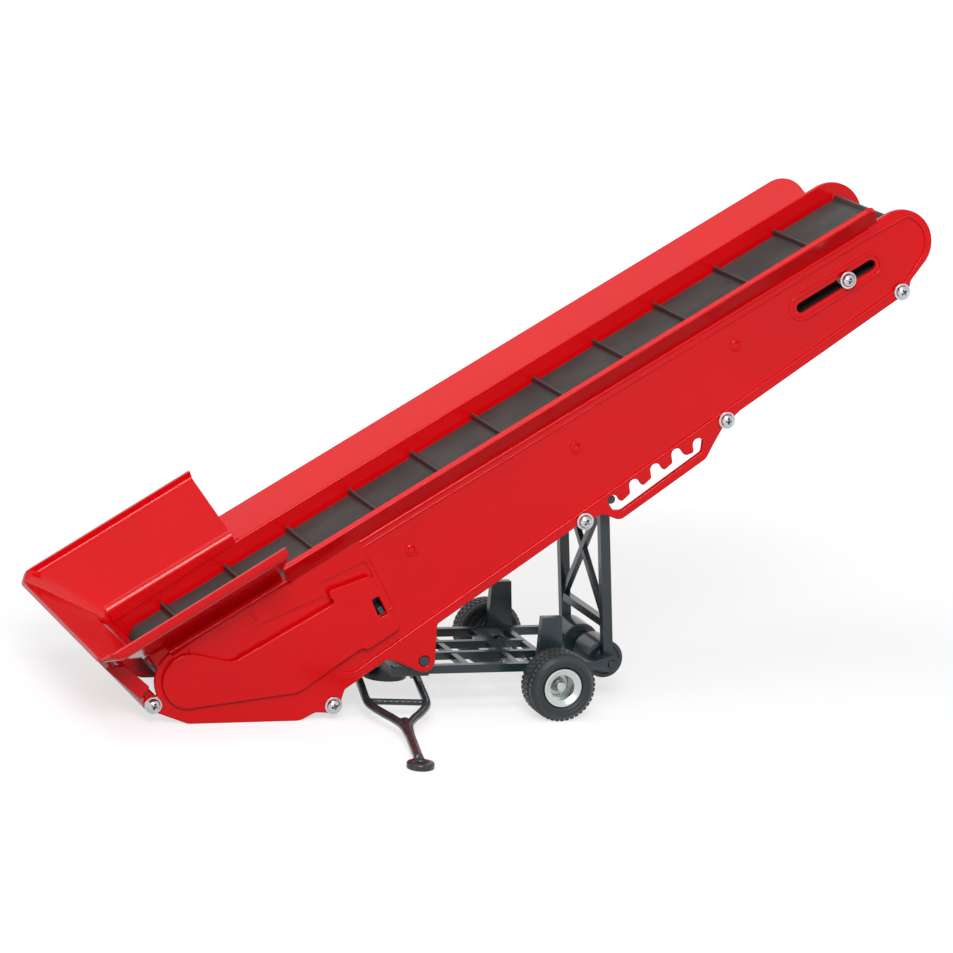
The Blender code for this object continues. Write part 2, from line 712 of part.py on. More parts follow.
def band_loop(clear):
    """The drive band's outline round its two pulleys, with this much clear of them."""
    motor = boom(*MOTOR_AT)
    apart = hypot(motor[0] - TAIL[0], motor[1] - TAIL[1])
    lean = degrees(atan2(PULLEY_R - MOTOR_PULLEY_R, apart))
    turn = tilt(TAIL, motor)
    loop = arc(TAIL, PULLEY_R + clear, turn + 90 - lean, turn + 270 + lean, 12)
    loop += arc(motor, MOTOR_PULLEY_R + clear, turn - 90 + lean, turn + 90 - lean, 8)
    return loop


def battery_box(build):
    """Two AAA cells side by side across the boom in a tray that opens underneath."""
    along, above = BATTERY_AT
    half_long, half_tall = CELL_PITCH / 2 + CELL_R + 0.5, CELL_R + 0.6
    wall, end = 1.1, PLATE_IN - GAP - 0.3
    outer = [
        boom(along - half_long - wall, above - half_tall - 1.5),
        boom(along - half_long, above - half_tall - 1.5),
        boom(along - half_long, above + half_tall),
        boom(along + half_long, above + half_tall),
        boom(along + half_long, above - half_tall - 1.5),
        boom(along + half_long + wall, above - half_tall - 1.5),
        boom(along + half_long + wall, above + half_tall + wall),
        boom(along - half_long - wall, above + half_tall + wall),
    ]
    build.flat("battery_tray", [outer], -end, end, "dark_plastic", "boom")
    reach = half_long - GAP
    door = [
        boom(along - reach, above - half_tall - 1.4),
        boom(along + reach, above - half_tall - 1.4),
        boom(along + reach, above - half_tall),
        boom(along - reach, above - half_tall),
    ]
    build.flat("battery_door", [door], -end, end, "red_plastic", "boom")
    for index, shift in enumerate((-CELL_PITCH / 2, CELL_PITCH / 2), 1):
        x, z = boom(along + shift, above)
        flip = 1 if index == 1 else -1
        profile = [(0, -CELL_LONG / 2), (CELL_R, -CELL_LONG / 2), (CELL_R, CELL_LONG / 2 - 1)]
        profile += [(1.9, CELL_LONG / 2 - 1), (1.9, CELL_LONG / 2), (0, CELL_LONG / 2)]
        build.turned(f"cell_{index}", profile, (x, 0, z), "cell_wrap", "boom", 16, flip)
    for word, side in (("near", -1), ("far", 1)):
        strip = [
            boom(along - 9.5, above - 3),
            boom(along + 9.5, above - 3),
            boom(along + 9.5, above + 3),
            boom(along - 9.5, above + 3),
        ]
        low, high = sorted((side * (CELL_LONG / 2 + 0.6), side * (CELL_LONG / 2 + 1.2)))
        build.flat("contact_" + word, [strip], low, high, "zinc", "boom")


def switch(build):
    """Slide switch behind the near plate; its knob shows in the cover's window."""
    body = [boom(*place) for place in SWITCH_BODY]
    build.flat("switch_body", [body], *BODY_Y, "dark_plastic", "boom")
    knob = [boom(*place) for place in SWITCH_KNOB]
    build.flat("switch_slider", [knob], *KNOB_Y, "dark_plastic", "switch")


# ---------------------------------------------------------------- chassis


def chassis(build):
    """Four rails and their cross members, axle posts, hinge ears and ladder bosses."""
    outer_back = LADDER_FOOT[0]
    helpers = []

    def bit(name, low, high):
        helpers.append(build.box(name + "_cutter", low, high, None, "machine"))

    frame = build.box(
        "chassis_frame",
        (FRONT_X, -OUTER_RAIL - 1.0, RAIL_LOW - 0.6),
        (-34.5, OUTER_RAIL + 1.0, RAIL_HIGH - 0.3),
        "dark_plastic",
        "machine",
    )
    for side in (-1, 1):
        middle = side * OUTER_RAIL
        ear = [(HINGE[0] - 3.1, RAIL_LOW), (HINGE[0] + 3.1, RAIL_LOW)] + arc(HINGE, 2.9, 0, 180, 8)
        low, high = middle - RAIL_THICK / 2, middle + RAIL_THICK / 2
        rail = [(FRONT_X + 0.7, RAIL_LOW), (outer_back - 6, RAIL_LOW)]
        rail += arc(LADDER_FOOT, 2.6, -90, 90, 8)
        rail += [(outer_back - 6, RAIL_HIGH), (FRONT_X + 0.7, RAIL_HIGH)]
        bore = arc(LADDER_FOOT, 1.4, 0, 330, 11)
        helpers.append(build.flat(f"rail{side}_cutter", [rail, bore], low, high, None, "machine"))
        helpers.append(build.flat(f"ear{side}_cutter", [ear], low - 0.2, high - 0.2, None, "machine"))
        inner = side * INNER_RAIL
        bit(f"inner{side}", (-35.5, inner - 1.1, RAIL_LOW + 0.1), (CROSS_X[-1], inner + 1.1, RAIL_HIGH - 0.1))
        sides = [(-4.6, AXLE_Z), (-3.6, 18), (-3.2, POST_TOP), (3.0, POST_TOP), (3.9, 18), (4.6, AXLE_Z)]
        post = [(AXLE_X + x, z) for x, z in sides]
        post += arc((AXLE_X, AXLE_Z), 3.2, -20, -160, 6)
        hole = arc((AXLE_X, AXLE_Z), AXLE_R + GAP, 0, 330, 11)
        centre = side * POST_MID
        low, high = centre - POST_THICK / 2, centre + POST_THICK / 2
        helpers.append(build.flat(f"post{side}_cutter", [post, hole], low, high, None, "machine"))
    for index, x in enumerate(CROSS_X):
        bit(f"cross{index}", (x - 1.0, -OUTER_RAIL, RAIL_LOW + 0.3), (x + 1.0, OUTER_RAIL, RAIL_HIGH - 0.3))
    build.combine(frame, helpers, "UNION")
    x, z = HINGE
    start, end = (x, -PLATE_OUT, z), (x, PLATE_OUT, z)
    cuts = [
        build.rod("hinge_bore_cutter", start, end, HINGE_PIN_R + 0.25, None, "machine", 16),
        build.rod("king_cutter", (*DRUM, DRUM_LOW), (*DRUM, POST_TOP), KING_R + GAP, None, "machine", 16),
    ]
    build.combine(frame, cuts, "DIFFERENCE")


def wheels(build):
    tip = TYRE_OUT - 2.2
    build.rod("axle", (AXLE_X, -tip, AXLE_Z), (AXLE_X, tip, AXLE_Z), AXLE_R, "steel", "machine", 16)
    crown, inner = TYRE_R, RIM_R + 0.3
    tyre = [(inner, TYRE_IN + 0.8), (inner + 1.4, TYRE_IN), (crown - 1.5, TYRE_IN + 0.3)]
    tyre += [(crown - 0.2, TYRE_IN + 1.6), (crown, TYRE_IN + 3.2), (crown, TYRE_OUT - 3.2)]
    tyre += [(crown - 0.2, TYRE_OUT - 1.6), (crown - 1.5, TYRE_OUT - 0.3)]
    tyre += [(inner + 1.4, TYRE_OUT), (inner, TYRE_OUT - 0.8)]
    hole = AXLE_R + 0.05
    disc = TYRE_OUT - 5.2
    rim = [(hole, disc), (RIM_R - 1.6, disc), (RIM_R - 1.6, TYRE_IN + 2.0), (RIM_R, TYRE_IN + 2.0)]
    rim += [(RIM_R, TYRE_OUT - 0.7), (RIM_R - 1.3, TYRE_OUT - 0.7), (RIM_R - 1.9, disc + 1.4)]
    rim += [(2.6, disc + 1.4), (2.6, disc + 2.6), (hole, disc + 2.6)]
    for word, side in (("near", -1), ("far", 1)):
        joint = "wheel_" + word
        at = (AXLE_X, 0, AXLE_Z)
        build.turned("tyre_" + word, tyre, at, "tyre_rubber", joint, 36, side)
        build.turned("rim_" + word, rim, at, "silver_plastic", joint, 28, side)
    x, z = LADDER_FOOT
    bore, hub, edge = 1.45, 2.6, 0.5
    drum = [(hub, DRUM_FROM), (REAR_ROLLER_R, DRUM_FROM), (REAR_ROLLER_R, DRUM_TO - edge)]
    drum += [(REAR_ROLLER_R - edge, DRUM_TO), (bore, DRUM_TO)]
    roller = [(radius, -across) for radius, across in drum[::-1]] + drum
    build.turned("rear_roller", roller, (x, 0, z), "tyre_rubber", "rear_roller", 28, -1)


def pins(build):
    x, z = HINGE
    end = PLATE_OUT + 0.1
    build.rod("hinge_pin", (x, -end, z), (x, end, z), HINGE_PIN_R, "dark_plastic", "machine", 16)
    x, z = LADDER_FOOT
    end = OUTER_RAIL + RAIL_THICK / 2 + 0.4
    build.rod("ladder_shaft", (x, -end, z), (x, end, z), 1.2, "dark_plastic", "machine", 16)
    low, high = DRUM_HIGH + GAP, RAIL_HIGH + 1.1
    build.rod("king_pin", (*DRUM, low), (*DRUM, high), KING_R, "dark_plastic", "machine", 16)


def ladder(build):
    """The support frame: two legs, a cross bar, an X brace and the top rod."""
    foot, top = LADDER_FOOT, NOTCHES[0]
    reach = hypot(top[0] - foot[0], top[1] - foot[1])

    def at(distance, side):
        x, z = between(foot, top, distance / reach)
        return (x, side, z)

    half = LADDER_HALF
    helpers = []
    frame = build.bar(
        "ladder_frame",
        at(CROSSBAR_AT, -half),
        at(CROSSBAR_AT, half),
        2.5,
        2.3,
        "dark_plastic",
        "ladder",
        (1, 0, 0),
    )
    for side in (-1, 1):
        middle = side * half
        leg = build.bar(
            f"leg{side}_cutter", at(1.5, middle), at(reach, middle), LADDER_LEG, 3.0, None, "ladder"
        )
        low, high = middle - LADDER_LEG / 2 - 0.05, middle + LADDER_LEG / 2 - 0.1
        lobe = build.flat(
            f"foot{side}_cutter",
            [arc(foot, 2.7, 0, 345, 15), arc(foot, 1.5, 0, 330, 11)],
            low,
            high,
            None,
            "ladder",
        )
        bore = build.rod(
            f"leg_bore{side}_cutter",
            (foot[0], middle - 3, foot[1]),
            (foot[0], middle + 3, foot[1]),
            1.5,
            None,
            "ladder",
            12,
        )
        build.combine(leg, [bore], "DIFFERENCE")
        helpers += [leg, lobe]
        start, end = at(CROSSBAR_AT + 0.4, middle), at(reach - 1.5, -middle)
        deep = BRACE_DEEP + side * 0.1
        name = f"brace{side}_cutter"
        helpers.append(build.bar(name, start, end, BRACE_WIDE, deep, None, "ladder", (1, 0, 0)))
    build.combine(frame, helpers, "UNION")
    end = PLATE_IN - GAP
    rod_end = build.rod(
        "ladder_rod_cutter", (top[0], -end, top[1]), (top[0], end, top[1]), ROD_R, None, "ladder", 14
    )
    build.combine(frame, [rod_end], "UNION")


def drawbar_point(distance, across, height):
    """A point along the drawbar from the drum's axis, with height above the ground."""
    x = DRUM[0] - distance * sin(DRAW_TURN) + across * cos(DRAW_TURN)
    y = DRUM[1] - distance * cos(DRAW_TURN) - across * sin(DRAW_TURN)
    return (x, y, height)


def drawbar(build):
    """Turntable drum under the chassis, and the A-shaped bar with its towing eye."""
    drum = build.rod(
        "turntable", (*DRUM, DRUM_LOW), (*DRUM, DRUM_HIGH), DRUM_R, "dark_plastic", "turntable", 28
    )
    hub = build.rod(
        "drum_pin_cutter",
        drawbar_point(0, -DRAW_ARM - 1.4, DRAW_Z),
        drawbar_point(0, DRAW_ARM + 1.4, DRAW_Z),
        0.9,
        None,
        "turntable",
        12,
    )
    build.combine(drum, [hub], "UNION")

    def lean(distance):
        """The bar slopes from the drum down to its eye on the ground."""
        return DRAW_Z + (DRAW_END_Z - DRAW_Z) * distance / DRAW_LEN

    helpers = []

    def tube(name, route, radius=DRAW_BAR_R):
        for index, (start, end) in enumerate(zip(route, route[1:])):
            a = drawbar_point(start[0], start[1], lean(start[0]))
            b = drawbar_point(end[0], end[1], lean(end[0]))
            push = (Vector(b) - Vector(a)).normalized() * 0.35
            a, b = Vector(a) - push, Vector(b) + push
            helpers.append(build.rod(f"{name}{index}_cutter", a, b, radius, None, "drawbar", 12))

    for side in (-1, 1):
        route = [(2.2, side * DRAW_ARM), (30, side * DRAW_ARM), (38, side * 6.2), (50, side * 0.8)]
        tube(f"arm{side}", route, DRAW_BAR_R + 0.02 * side)
    tube("cross", [(29, -DRAW_ARM), (29, DRAW_ARM)], 0.95)
    stem = build.rod(
        "drawbar",
        drawbar_point(47.5, 0, lean(47.5)),
        drawbar_point(DRAW_LEN - EYE_R, 0, lean(DRAW_LEN - EYE_R)),
        1.5,
        "dark_plastic",
        "drawbar",
        12,
    )
    for side in (-1, 1):
        centre = drawbar_point(0, side * DRAW_ARM, DRAW_Z)
        a = drawbar_point(0, side * (DRAW_ARM - 1.15), DRAW_Z)
        b = drawbar_point(0, side * (DRAW_ARM + 1.15), DRAW_Z)
        knuckle = build.rod(f"knuckle{side}_cutter", a, b, 2.5, None, "drawbar", 14)
        a = drawbar_point(0, side * (DRAW_ARM - 2), DRAW_Z)
        b = drawbar_point(0, side * (DRAW_ARM + 2), DRAW_Z)
        hole = build.rod(f"knuckle_bore{side}_cutter", a, b, 1.15, None, "drawbar", 12)
        build.combine(knuckle, [hole], "DIFFERENCE")
        helpers.append(knuckle)
    x, y, z = drawbar_point(DRAW_LEN, 0, EYE_TUBE)
    ring = [arc((x, y), EYE_R + 1.5, 0, 345, 23), arc((x, y), EYE_R - 1.0, 0, 330, 11)]
    helpers.append(build.sheet("eye_cutter", ring, (0, 0, EYE_TUBE), None, 2 * EYE_TUBE, None, "drawbar"))
    build.combine(stem, helpers, "UNION")


# ---------------------------------------------------------------- assembly


def main():
    build = Builder()
    build.joint("boom", (HINGE[0], 0, HINGE[1]), "machine")
    build.joint("tail_roller", (TAIL[0], 0, TAIL[1]), "boom")
    for name, at in (
        ("head_roller", boom(SPAN, 0)),
        ("motor_shaft", boom(*MOTOR_AT)),
        ("tensioner", boom(TENSION_AT, -1)),
        ("switch", boom(59, -12.6)),
    ):
        build.joint(name, (at[0], 0, at[1]), "boom")
    for name in ("wheel_near", "wheel_far"):
        build.joint(name, (AXLE_X, 0, AXLE_Z), "machine")
    build.joint("rear_roller", (LADDER_FOOT[0], 0, LADDER_FOOT[1]), "machine")
    build.joint("ladder", (LADDER_FOOT[0], 0, LADDER_FOOT[1]), "machine")
    build.joint("turntable", (*DRUM, DRUM_LOW), "machine")
    build.joint("drawbar", (*DRUM, DRAW_Z), "turntable")
    side_plates(build)
    belt(build)
    deck(build)
    rollers(build)
    screws_and_spacers(build)
    tensioner(build)
    drive_cover(build)
    hopper(build)
    tail_guard(build)
    drive(build)
    chassis(build)
    wheels(build)
    pins(build)
    ladder(build)
    drawbar(build)
    build.centre_on_ground()


main()
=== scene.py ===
"""Finished look of the toy belt elevator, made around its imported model.

Lengths are millimetres on the machine's own axes: X runs from the hopper to the
discharge end with 0 just on the hopper's side of the axle, Y runs across with 0 in the
middle of the boom, and Z is the height above the ground.  A mesh is turned into metres
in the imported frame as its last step.
"""

import json
from math import atan2, ceil, cos, degrees, pi, radians, sin, sqrt, tan

import bmesh
import bpy
from bpy.props import FloatProperty, FloatVectorProperty, PointerProperty
from bpy.types import Operator, Panel, PropertyGroup
from mathutils import Matrix, Vector


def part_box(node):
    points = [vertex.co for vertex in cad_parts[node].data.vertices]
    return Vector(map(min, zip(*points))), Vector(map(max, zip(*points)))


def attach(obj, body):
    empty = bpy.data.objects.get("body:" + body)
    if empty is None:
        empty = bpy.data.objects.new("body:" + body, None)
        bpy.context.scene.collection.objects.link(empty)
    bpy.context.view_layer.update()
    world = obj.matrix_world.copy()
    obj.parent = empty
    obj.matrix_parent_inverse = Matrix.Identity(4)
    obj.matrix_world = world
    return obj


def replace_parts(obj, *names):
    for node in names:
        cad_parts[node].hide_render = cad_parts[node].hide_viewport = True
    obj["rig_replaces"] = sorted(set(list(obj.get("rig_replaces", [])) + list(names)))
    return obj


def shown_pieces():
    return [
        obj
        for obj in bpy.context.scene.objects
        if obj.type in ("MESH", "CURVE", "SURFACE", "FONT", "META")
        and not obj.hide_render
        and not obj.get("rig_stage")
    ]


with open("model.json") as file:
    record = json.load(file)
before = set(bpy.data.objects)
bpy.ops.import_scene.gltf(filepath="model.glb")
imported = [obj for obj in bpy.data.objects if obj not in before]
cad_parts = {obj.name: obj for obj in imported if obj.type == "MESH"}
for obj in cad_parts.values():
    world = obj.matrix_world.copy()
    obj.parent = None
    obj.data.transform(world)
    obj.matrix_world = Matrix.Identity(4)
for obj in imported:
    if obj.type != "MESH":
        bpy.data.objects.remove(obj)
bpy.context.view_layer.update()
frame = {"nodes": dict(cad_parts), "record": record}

bl_info = {
    "name": "Belt elevator finish",
    "version": (1, 0, 0),
    "blender": (4, 5, 0),
    "location": "3D View > Sidebar > Elevator",
    "description": "Builds the moulded, rubber and metal pieces of a toy belt elevator",
    "category": "Object",
}

MM = 0.001
LOOK = "look_"
FINE = 1e-4  # points closer than this are one
AXLE_X, AXLE_Z = 2.8, 10.4
AXLE_MIDDLE = (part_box("axle")[0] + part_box("axle")[1]) / 2
ORIGIN = Vector((AXLE_MIDDLE.x - AXLE_X * MM, AXLE_MIDDLE.y, 0))

# Boom: the line through the two belt rollers
TAIL = (-109.4, 13.1)
SLOPE = 31.2  # degrees
SPAN = 250.2
ALONG = (cos(radians(SLOPE)), sin(radians(SLOPE)))
EDGE_SLOPE = 34.9  # degrees, the plates' lower edge
HEEL = (-63.3, 8.1)

# Side plates
PLATE_OUT, PLATE_IN = 27.0, 25.2
PLATE_END = 10.2
FOOT = (-109.0, -75.0)
FOOT_NECK = (-70.5, 2.4)
HINGE = (-37.8, 17.1)
HINGE_R = 1.62
LUG_FROM, LUG_R = 11.1, 3.4
TAB_R = 2.5
RACK_EDGE = ((14.9, 61.0, 3.0), (20.9, 58.8, 3.0), (47.1, 77.4, 3.5), (48.8, 81.2, 3.0))
HEAD_NECK = (109.0, 131.4, 2.5)
NOTCHES = ((18.3, 64.8), (24.8, 69.6), (31.2, 74.25), (37.6, 78.75), (44.2, 81.8))
NOTCH_R = 1.75
TOOTH = ((2.5, -0.5, 1.5), (-1.2, -2.6, 0.9))  # its corners, from the notches on its two sides
WINDOW_TOP = (1.2, -2.3, 1.6)  # the notched window's lower corners, from its last and first notch
WINDOW_FOOT = ((2.9, -2.9, 2.0), (0.2, -2.9, 1.4))
SLOT_FROM, SLOT_TO, SLOT_ABOVE, SLOT_HALF = 214.0, 239.0, -1.0, 1.6
BOSSES = ((75.6, -1.8), (133.4, -1.4), (190.8, -0.4))
BOSS_R = 2.1
BOARD_FROM, BOARD_TO = 38.9, 246.0
BOARD_REACH = 7.2
BOARD_THICK = 1.5
SILL_FROM, SILL_REACH = -1.0, 1.8
BEAD_FROM, BEAD_ABOVE, BEAD_R = 63.0, 8.9, 0.6
PANEL_FROM, PANEL_TOP, PANEL_BEAD_R = 63.2, 7.0, 0.38
PANEL_END = ((38.0, -22.0, 1.0), (54.0, -14.0, 1.0), (63.2, -14.0, 1.0))
RECESS_DEEP = 0.7
RECESSES = (
    ((10.0, -4.0), (25.0, 3.4), (46.6, 0.6), (48.6, -4.0)),
    ((46.4, -0.5), (46.8, 4.6), (62.0, 3.2), (62.0, -3.0)),
)
RIBS, RIB_FROM, RIB_TO, RIB_R = (4.4, 25.4), 8.4, 5.2, 0.4
GAP = 0.3

# Drive cover and switch window, as distances along and above the boom and a corner's radius
COVER_THICK = 1.3
COVER_R = 8.2
COVER_CORNERS = (
    (26.0, -20.6, 4.0),
    (48.6, -19.2, 0.8),
    (49.9, -20.6, 0.8),
    (61.6, -20.3, 1.2),
    (61.2, -1.2, 1.6),
    (47.3, 1.7, 1.2),
    (48.1, -2.7, 0.8),
    (13.5, -1.8, 6.0),
)
SWITCH_WINDOW = ((57.9, -7.9), (60.3, -8.1), (60.1, -14.2), (57.5, -14.0))
WINDOW_MIDDLE = (58.95, -11.05)
WINDOW_CORNER = 0.35

# Screws that tie the plates together, as X and Z
TIES = {
    "tail": (-119.9, 6.1),
    "foot": (-65.3, 4.5),
    "middle": (9.6, 58.8),
    "upper": (52.5, 89.1),
    "head": (106.2, 128.1),
}
TENSION_AT = 230.4
SCREW_R = 2.6
SCREW_TALL = 1.9
SHANK_R = 1.2
SHANK_IN = 20.0
RECESS_FLOOR, RECESS_R, RECESS_HALF = 0.45, 1.9, 0.34  # the cross in a screw's head
FIRST_TURN, NEXT_TURN = 17, 53  # degrees, how the crosses happen to stand

# Belt
BELT_IN, BELT_OUT, BELT_HALF = 3.9, 4.9, 23.0
CLEATS = 24
CLEAT_WIDE = 1.5
FIRST_CLEAT = 9.6
BELT_STEPS = 360
BELT_LAP = 2 * SPAN + 2 * pi * BELT_OUT

# Hopper, as distances along the boom, from its middle and above the line of the rollers
WING_FROM, WING_TO = -6.6, 38.2
WING_LOW = (26.0, 12.8)
WING_BEND = (51.3, 25.4)
LIP_TOP = 28.3
WALL_LOW = (-8.2, 11.1)
WALL_RIM = (-21.4, 26.0)
WALL_HALF_LOW, WALL_HALF_HIGH = 20.5, 46.0
FOLD_FROM, LIP_FROM = -16.4, -18.6  # tail ends of the wings' upper fold and lip
FOLD_TO, LIP_TO = 39.4, 39.8
SKIRT, SKIRT_MORE = 2.6, 1.6  # height of the wings' skirt at the head, and so much more at the tail
SHEET_THICK = 1.2
SLIT_AT, SLIT_WIDE, SLIT_HALF = 3.0, 1.7, 18.6

# Plate under the hopper's end wall, as X and Z
GUARD_TOP, GUARD_FOOT = (-133.4, 18.2), (-122.5, 9.0)
GUARD_THICK = 1.6
GUARD_FLANGE = ((-133.0, 17.6, 0.6), (-122.8, 8.9, 0.6), (-120.8, 11.2, 0.8), (-128.8, 18.0, 1.2))

# Wheels and rear roller
TYRE_R = 10.4
TYRE_IN, TYRE_OUT = 26.9, 37.3
TREAD_ROWS = ((-3.0, 0.0, 1.6), (-1.0, 0.5, 1.7), (1.0, 0.0, 1.7), (3.0, 0.5, 1.6))
TREAD_BLOCKS = 40
TREAD_LEAN = 18  # degrees
RIM_R = 5.9
RIM_FACE, RIM_DISC, AXLE_HOLE = 0.7, 7.0, 1.46  # face and disc, inwards from the tyre's side
LADDER_FOOT = (23.4, 13.5)
REAR_ROLLER_R = 5.8
DRUM_FROM, DRUM_TO = 4.4, 16.2
DRUM_HUB, DRUM_EDGE, SHAFT_HOLE = 2.6, 0.45, 1.45

# Drawbar
DRUM = (-40.8, 0.0)
DRAW_TURN = radians(10.5)
DRAW_Z, DRAW_END_Z, DRAW_LEN = 7.5, 1.6, 81.0
DRAW_ARM = 8.9
ARM_ROUTE = ((1.6, 8.9), (15, 8.9), (27, 8.9), (32, 8.3), (38, 5.9), (44, 2.9), (50, 0.9), (58, 0.3))
ARM_R, TIE_R, STEM_R = 1.28, 1.0, 1.5
TIE_AT, STEM_FROM, STEM_TO = 29.0, 46.0, 77.6
EYE_R, EYE_HOLE, EYE_HALF = 4.05, 1.6, 1.0
CAST_VOXEL = 0.32

# Stage, in millimetres; the floor's size and fade are in metres
CAMERA_AT = Vector((-465.2, -1241.0, 345.5))
CAMERA_TURN, CAMERA_RISE, CAMERA_ROLL = radians(-19.92), radians(11.93), radians(3.69)
CAMERA_LENS = 170.4  # on a 36 mm sensor
LAMPS_AIM = (0, 0, 60)
KEY_SIZE, KEY_AT = (760, 440), (-324, -348, 998)
FILL_SIZE, FILL_AT = (420, 320), (-336, -984, 660)
FLOOR_HALF = 6
FLOOR_COLOUR = (0.4, 0.398, 0.42, 1)
FLOOR_GLOW = 0.68
FADE_FROM, FADE_TO = 0.16, 0.55


# ------------------------------------------------------------------ settings


class ElevatorSizes(PropertyGroup):
    """Sizes of the finishing detail; scene units are metres, shown in millimetres."""

    plate_edge: FloatProperty(
        name="Plate edge", description="Rounding of the plates' edges", default=0.35 * MM, unit="LENGTH"
    )
    panel_depth: FloatProperty(
        name="Panel depth", description="How far the panels are sunk", default=0.45 * MM, unit="LENGTH"
    )
    rim_width: FloatProperty(
        name="Rim width", description="Width of the plates' raised lower rim", default=2.6 * MM, unit="LENGTH"
    )
    fold_radius: FloatProperty(
        name="Fold radius", description="Rounding of the hopper's folds", default=1.3 * MM, unit="LENGTH"
    )
    cleat_height: FloatProperty(
        name="Cleat height", description="Height of the cleats over the belt", default=1.7 * MM, unit="LENGTH"
    )
    tread_depth: FloatProperty(
        name="Tread depth", description="Depth of the tyres' grooves", default=0.32 * MM, unit="LENGTH"
    )


class ElevatorColours(PropertyGroup):
    """Colours of the finishes, as linear values."""

    red: FloatVectorProperty(
        name="Red plastic", description="Boom and hopper", subtype="COLOR", default=(0.68, 0.0022, 0.0048)
    )
    dark: FloatVectorProperty(
        name="Dark plastic", description="Chassis and ladder", subtype="COLOR", default=(0.016, 0.027, 0.033)
    )
    belt: FloatVectorProperty(
        name="Belt rubber", description="Belt and cleats", subtype="COLOR", default=(0.022, 0.028, 0.027)
    )
    tyre: FloatVectorProperty(
        name="Tyre rubber", description="Tyres", subtype="COLOR", default=(0.014, 0.021, 0.024)
    )
    silver: FloatVectorProperty(
        name="Silver", description="Wheel rims", subtype="COLOR", default=(0.56, 0.6, 0.58)
    )
    zinc: FloatVectorProperty(
        name="Zinc", description="Screws and contacts", subtype="COLOR", default=(0.52, 0.54, 0.56)
    )
    steel: FloatVectorProperty(
        name="Steel", description="Axle, tension bar and motor", subtype="COLOR", default=(0.5, 0.51, 0.53)
    )
    wrap: FloatVectorProperty(
        name="Cell wrap", description="Battery sleeves", subtype="COLOR", default=(0.06, 0.07, 0.08)
    )


class ElevatorStudio(PropertyGroup):
    """Light levels of the stage."""

    key: FloatProperty(name="Key", description="Power of the overhead softbox", default=2.7, unit="POWER")
    fill: FloatProperty(name="Fill", description="Power of the front softbox", default=9.0, unit="POWER")
    sky: FloatProperty(
        name="Sky", description="Strength of the surrounding light", default=0.38, subtype="FACTOR"
    )


# ------------------------------------------------------------------ outlines


def boom(along, above):
    """X and Z of a point given along the boom and above the line of its rollers."""
    return (
        TAIL[0] + along * ALONG[0] - above * ALONG[1],
        TAIL[1] + along * ALONG[1] + above * ALONG[0],
    )


def on_boom(along, across, above):
    """A point of the machine given along, across and above the boom."""
    x, z = boom(along, above)
    return Vector((x, across, z))


def lower_edge(x):
    """Height of the plates' lower edge."""
    return HEEL[1] + (x - HEEL[0]) * tan(radians(EDGE_SLOPE))


def arc(centre, radius, start, end, steps=16):
    """Points on a circle, angles in degrees, anticlockwise when end is more than start."""
    turn = [radians(start + (end - start) * i / steps) for i in range(steps + 1)]
    return [(centre[0] + radius * cos(a), centre[1] + radius * sin(a)) for a in turn]


def circle(centre, radius, steps=32):
    return arc(centre, radius, 0, 360 - 360 / steps, steps - 1)


def stadium(start, end, radius):
    """A slot's outline between the centres of its two round ends."""
    turn = degrees(atan2(end[1] - start[1], end[0] - start[0]))
    return arc(start, radius, turn + 90, turn + 270) + arc(end, radius, turn - 90, turn + 90)


def rounded(corners, step=15):
    """A closed outline whose corners, given as x, y and a radius, are turned into arcs."""
    outline = []
    count = len(corners)
    for index, corner in enumerate(corners):
        here = Vector(corner[:2])
        radius = corner[2] if len(corner) > 2 else 0
        back = Vector(corners[index - 1][:2]) - here
        ahead = Vector(corners[(index + 1) % count][:2]) - here
        opening = back.angle(ahead, pi)
        if radius <= 0 or opening > radians(176):
            outline.append(tuple(here))
            continue
        room = 0.48 * min(back.length, ahead.length)
        reach = min(radius / tan(opening / 2), room)
        radius = reach * tan(opening / 2)
        centre = here + (back.normalized() + ahead.normalized()).normalized() * radius / sin(opening / 2)
        first = here + back.normalized() * reach - centre
        swing = first.angle_signed(here + ahead.normalized() * reach - centre)
        parts = max(2, ceil(degrees(abs(swing)) / step))
        for i in range(parts + 1):
            outline.append(tuple(centre + Matrix.Rotation(-swing * i / parts, 2) @ first))
    return outline


def plate_outline():
    """The side plate from the head round the top, the tail, the foot, the lug and the rack."""
    tail, foot, middle, upper, last = (TIES[word] for word in ("tail", "foot", "middle", "upper", "head"))
    corners = arc(boom(SPAN, 0), PLATE_END, SLOPE - 62, SLOPE + 90, 40)
    corners += arc(TAIL, PLATE_END, SLOPE + 90, 205, 24)
    corners += arc(tail, TAB_R, 165, 290, 14)
    corners += [(FOOT[0], 0, 3.0), (FOOT[1], 0, 5.0), (*FOOT_NECK, 3.0)]
    corners += arc(foot, TAB_R, 255, 375, 14)
    corners += [(HEEL[0] + 1.4, lower_edge(HEEL[0] + 1.4), 1.5)]
    corners += [(HINGE[0] - LUG_FROM, lower_edge(HINGE[0] - LUG_FROM), 3.0)]
    corners += arc(HINGE, LUG_R, 245, 360, 14)
    corners += [(HINGE[0] + LUG_R, lower_edge(HINGE[0] + LUG_R), 1.2)]
    corners += arc(middle, TAB_R, EDGE_SLOPE + 180, EDGE_SLOPE + 330, 14)
    corners += RACK_EDGE
    corners += arc(upper, TAB_R, EDGE_SLOPE + 215, EDGE_SLOPE + 345, 14)
    corners += [(upper[0] + 4.2, lower_edge(upper[0] + 4.2), 3.0)]
    corners += [(last[0] - 5.6, lower_edge(last[0] - 5.6), 2.5)]
    corners += arc(last, TAB_R, EDGE_SLOPE + 215, EDGE_SLOPE + 325, 14)
    corners.append(HEAD_NECK)
    return rounded(corners)


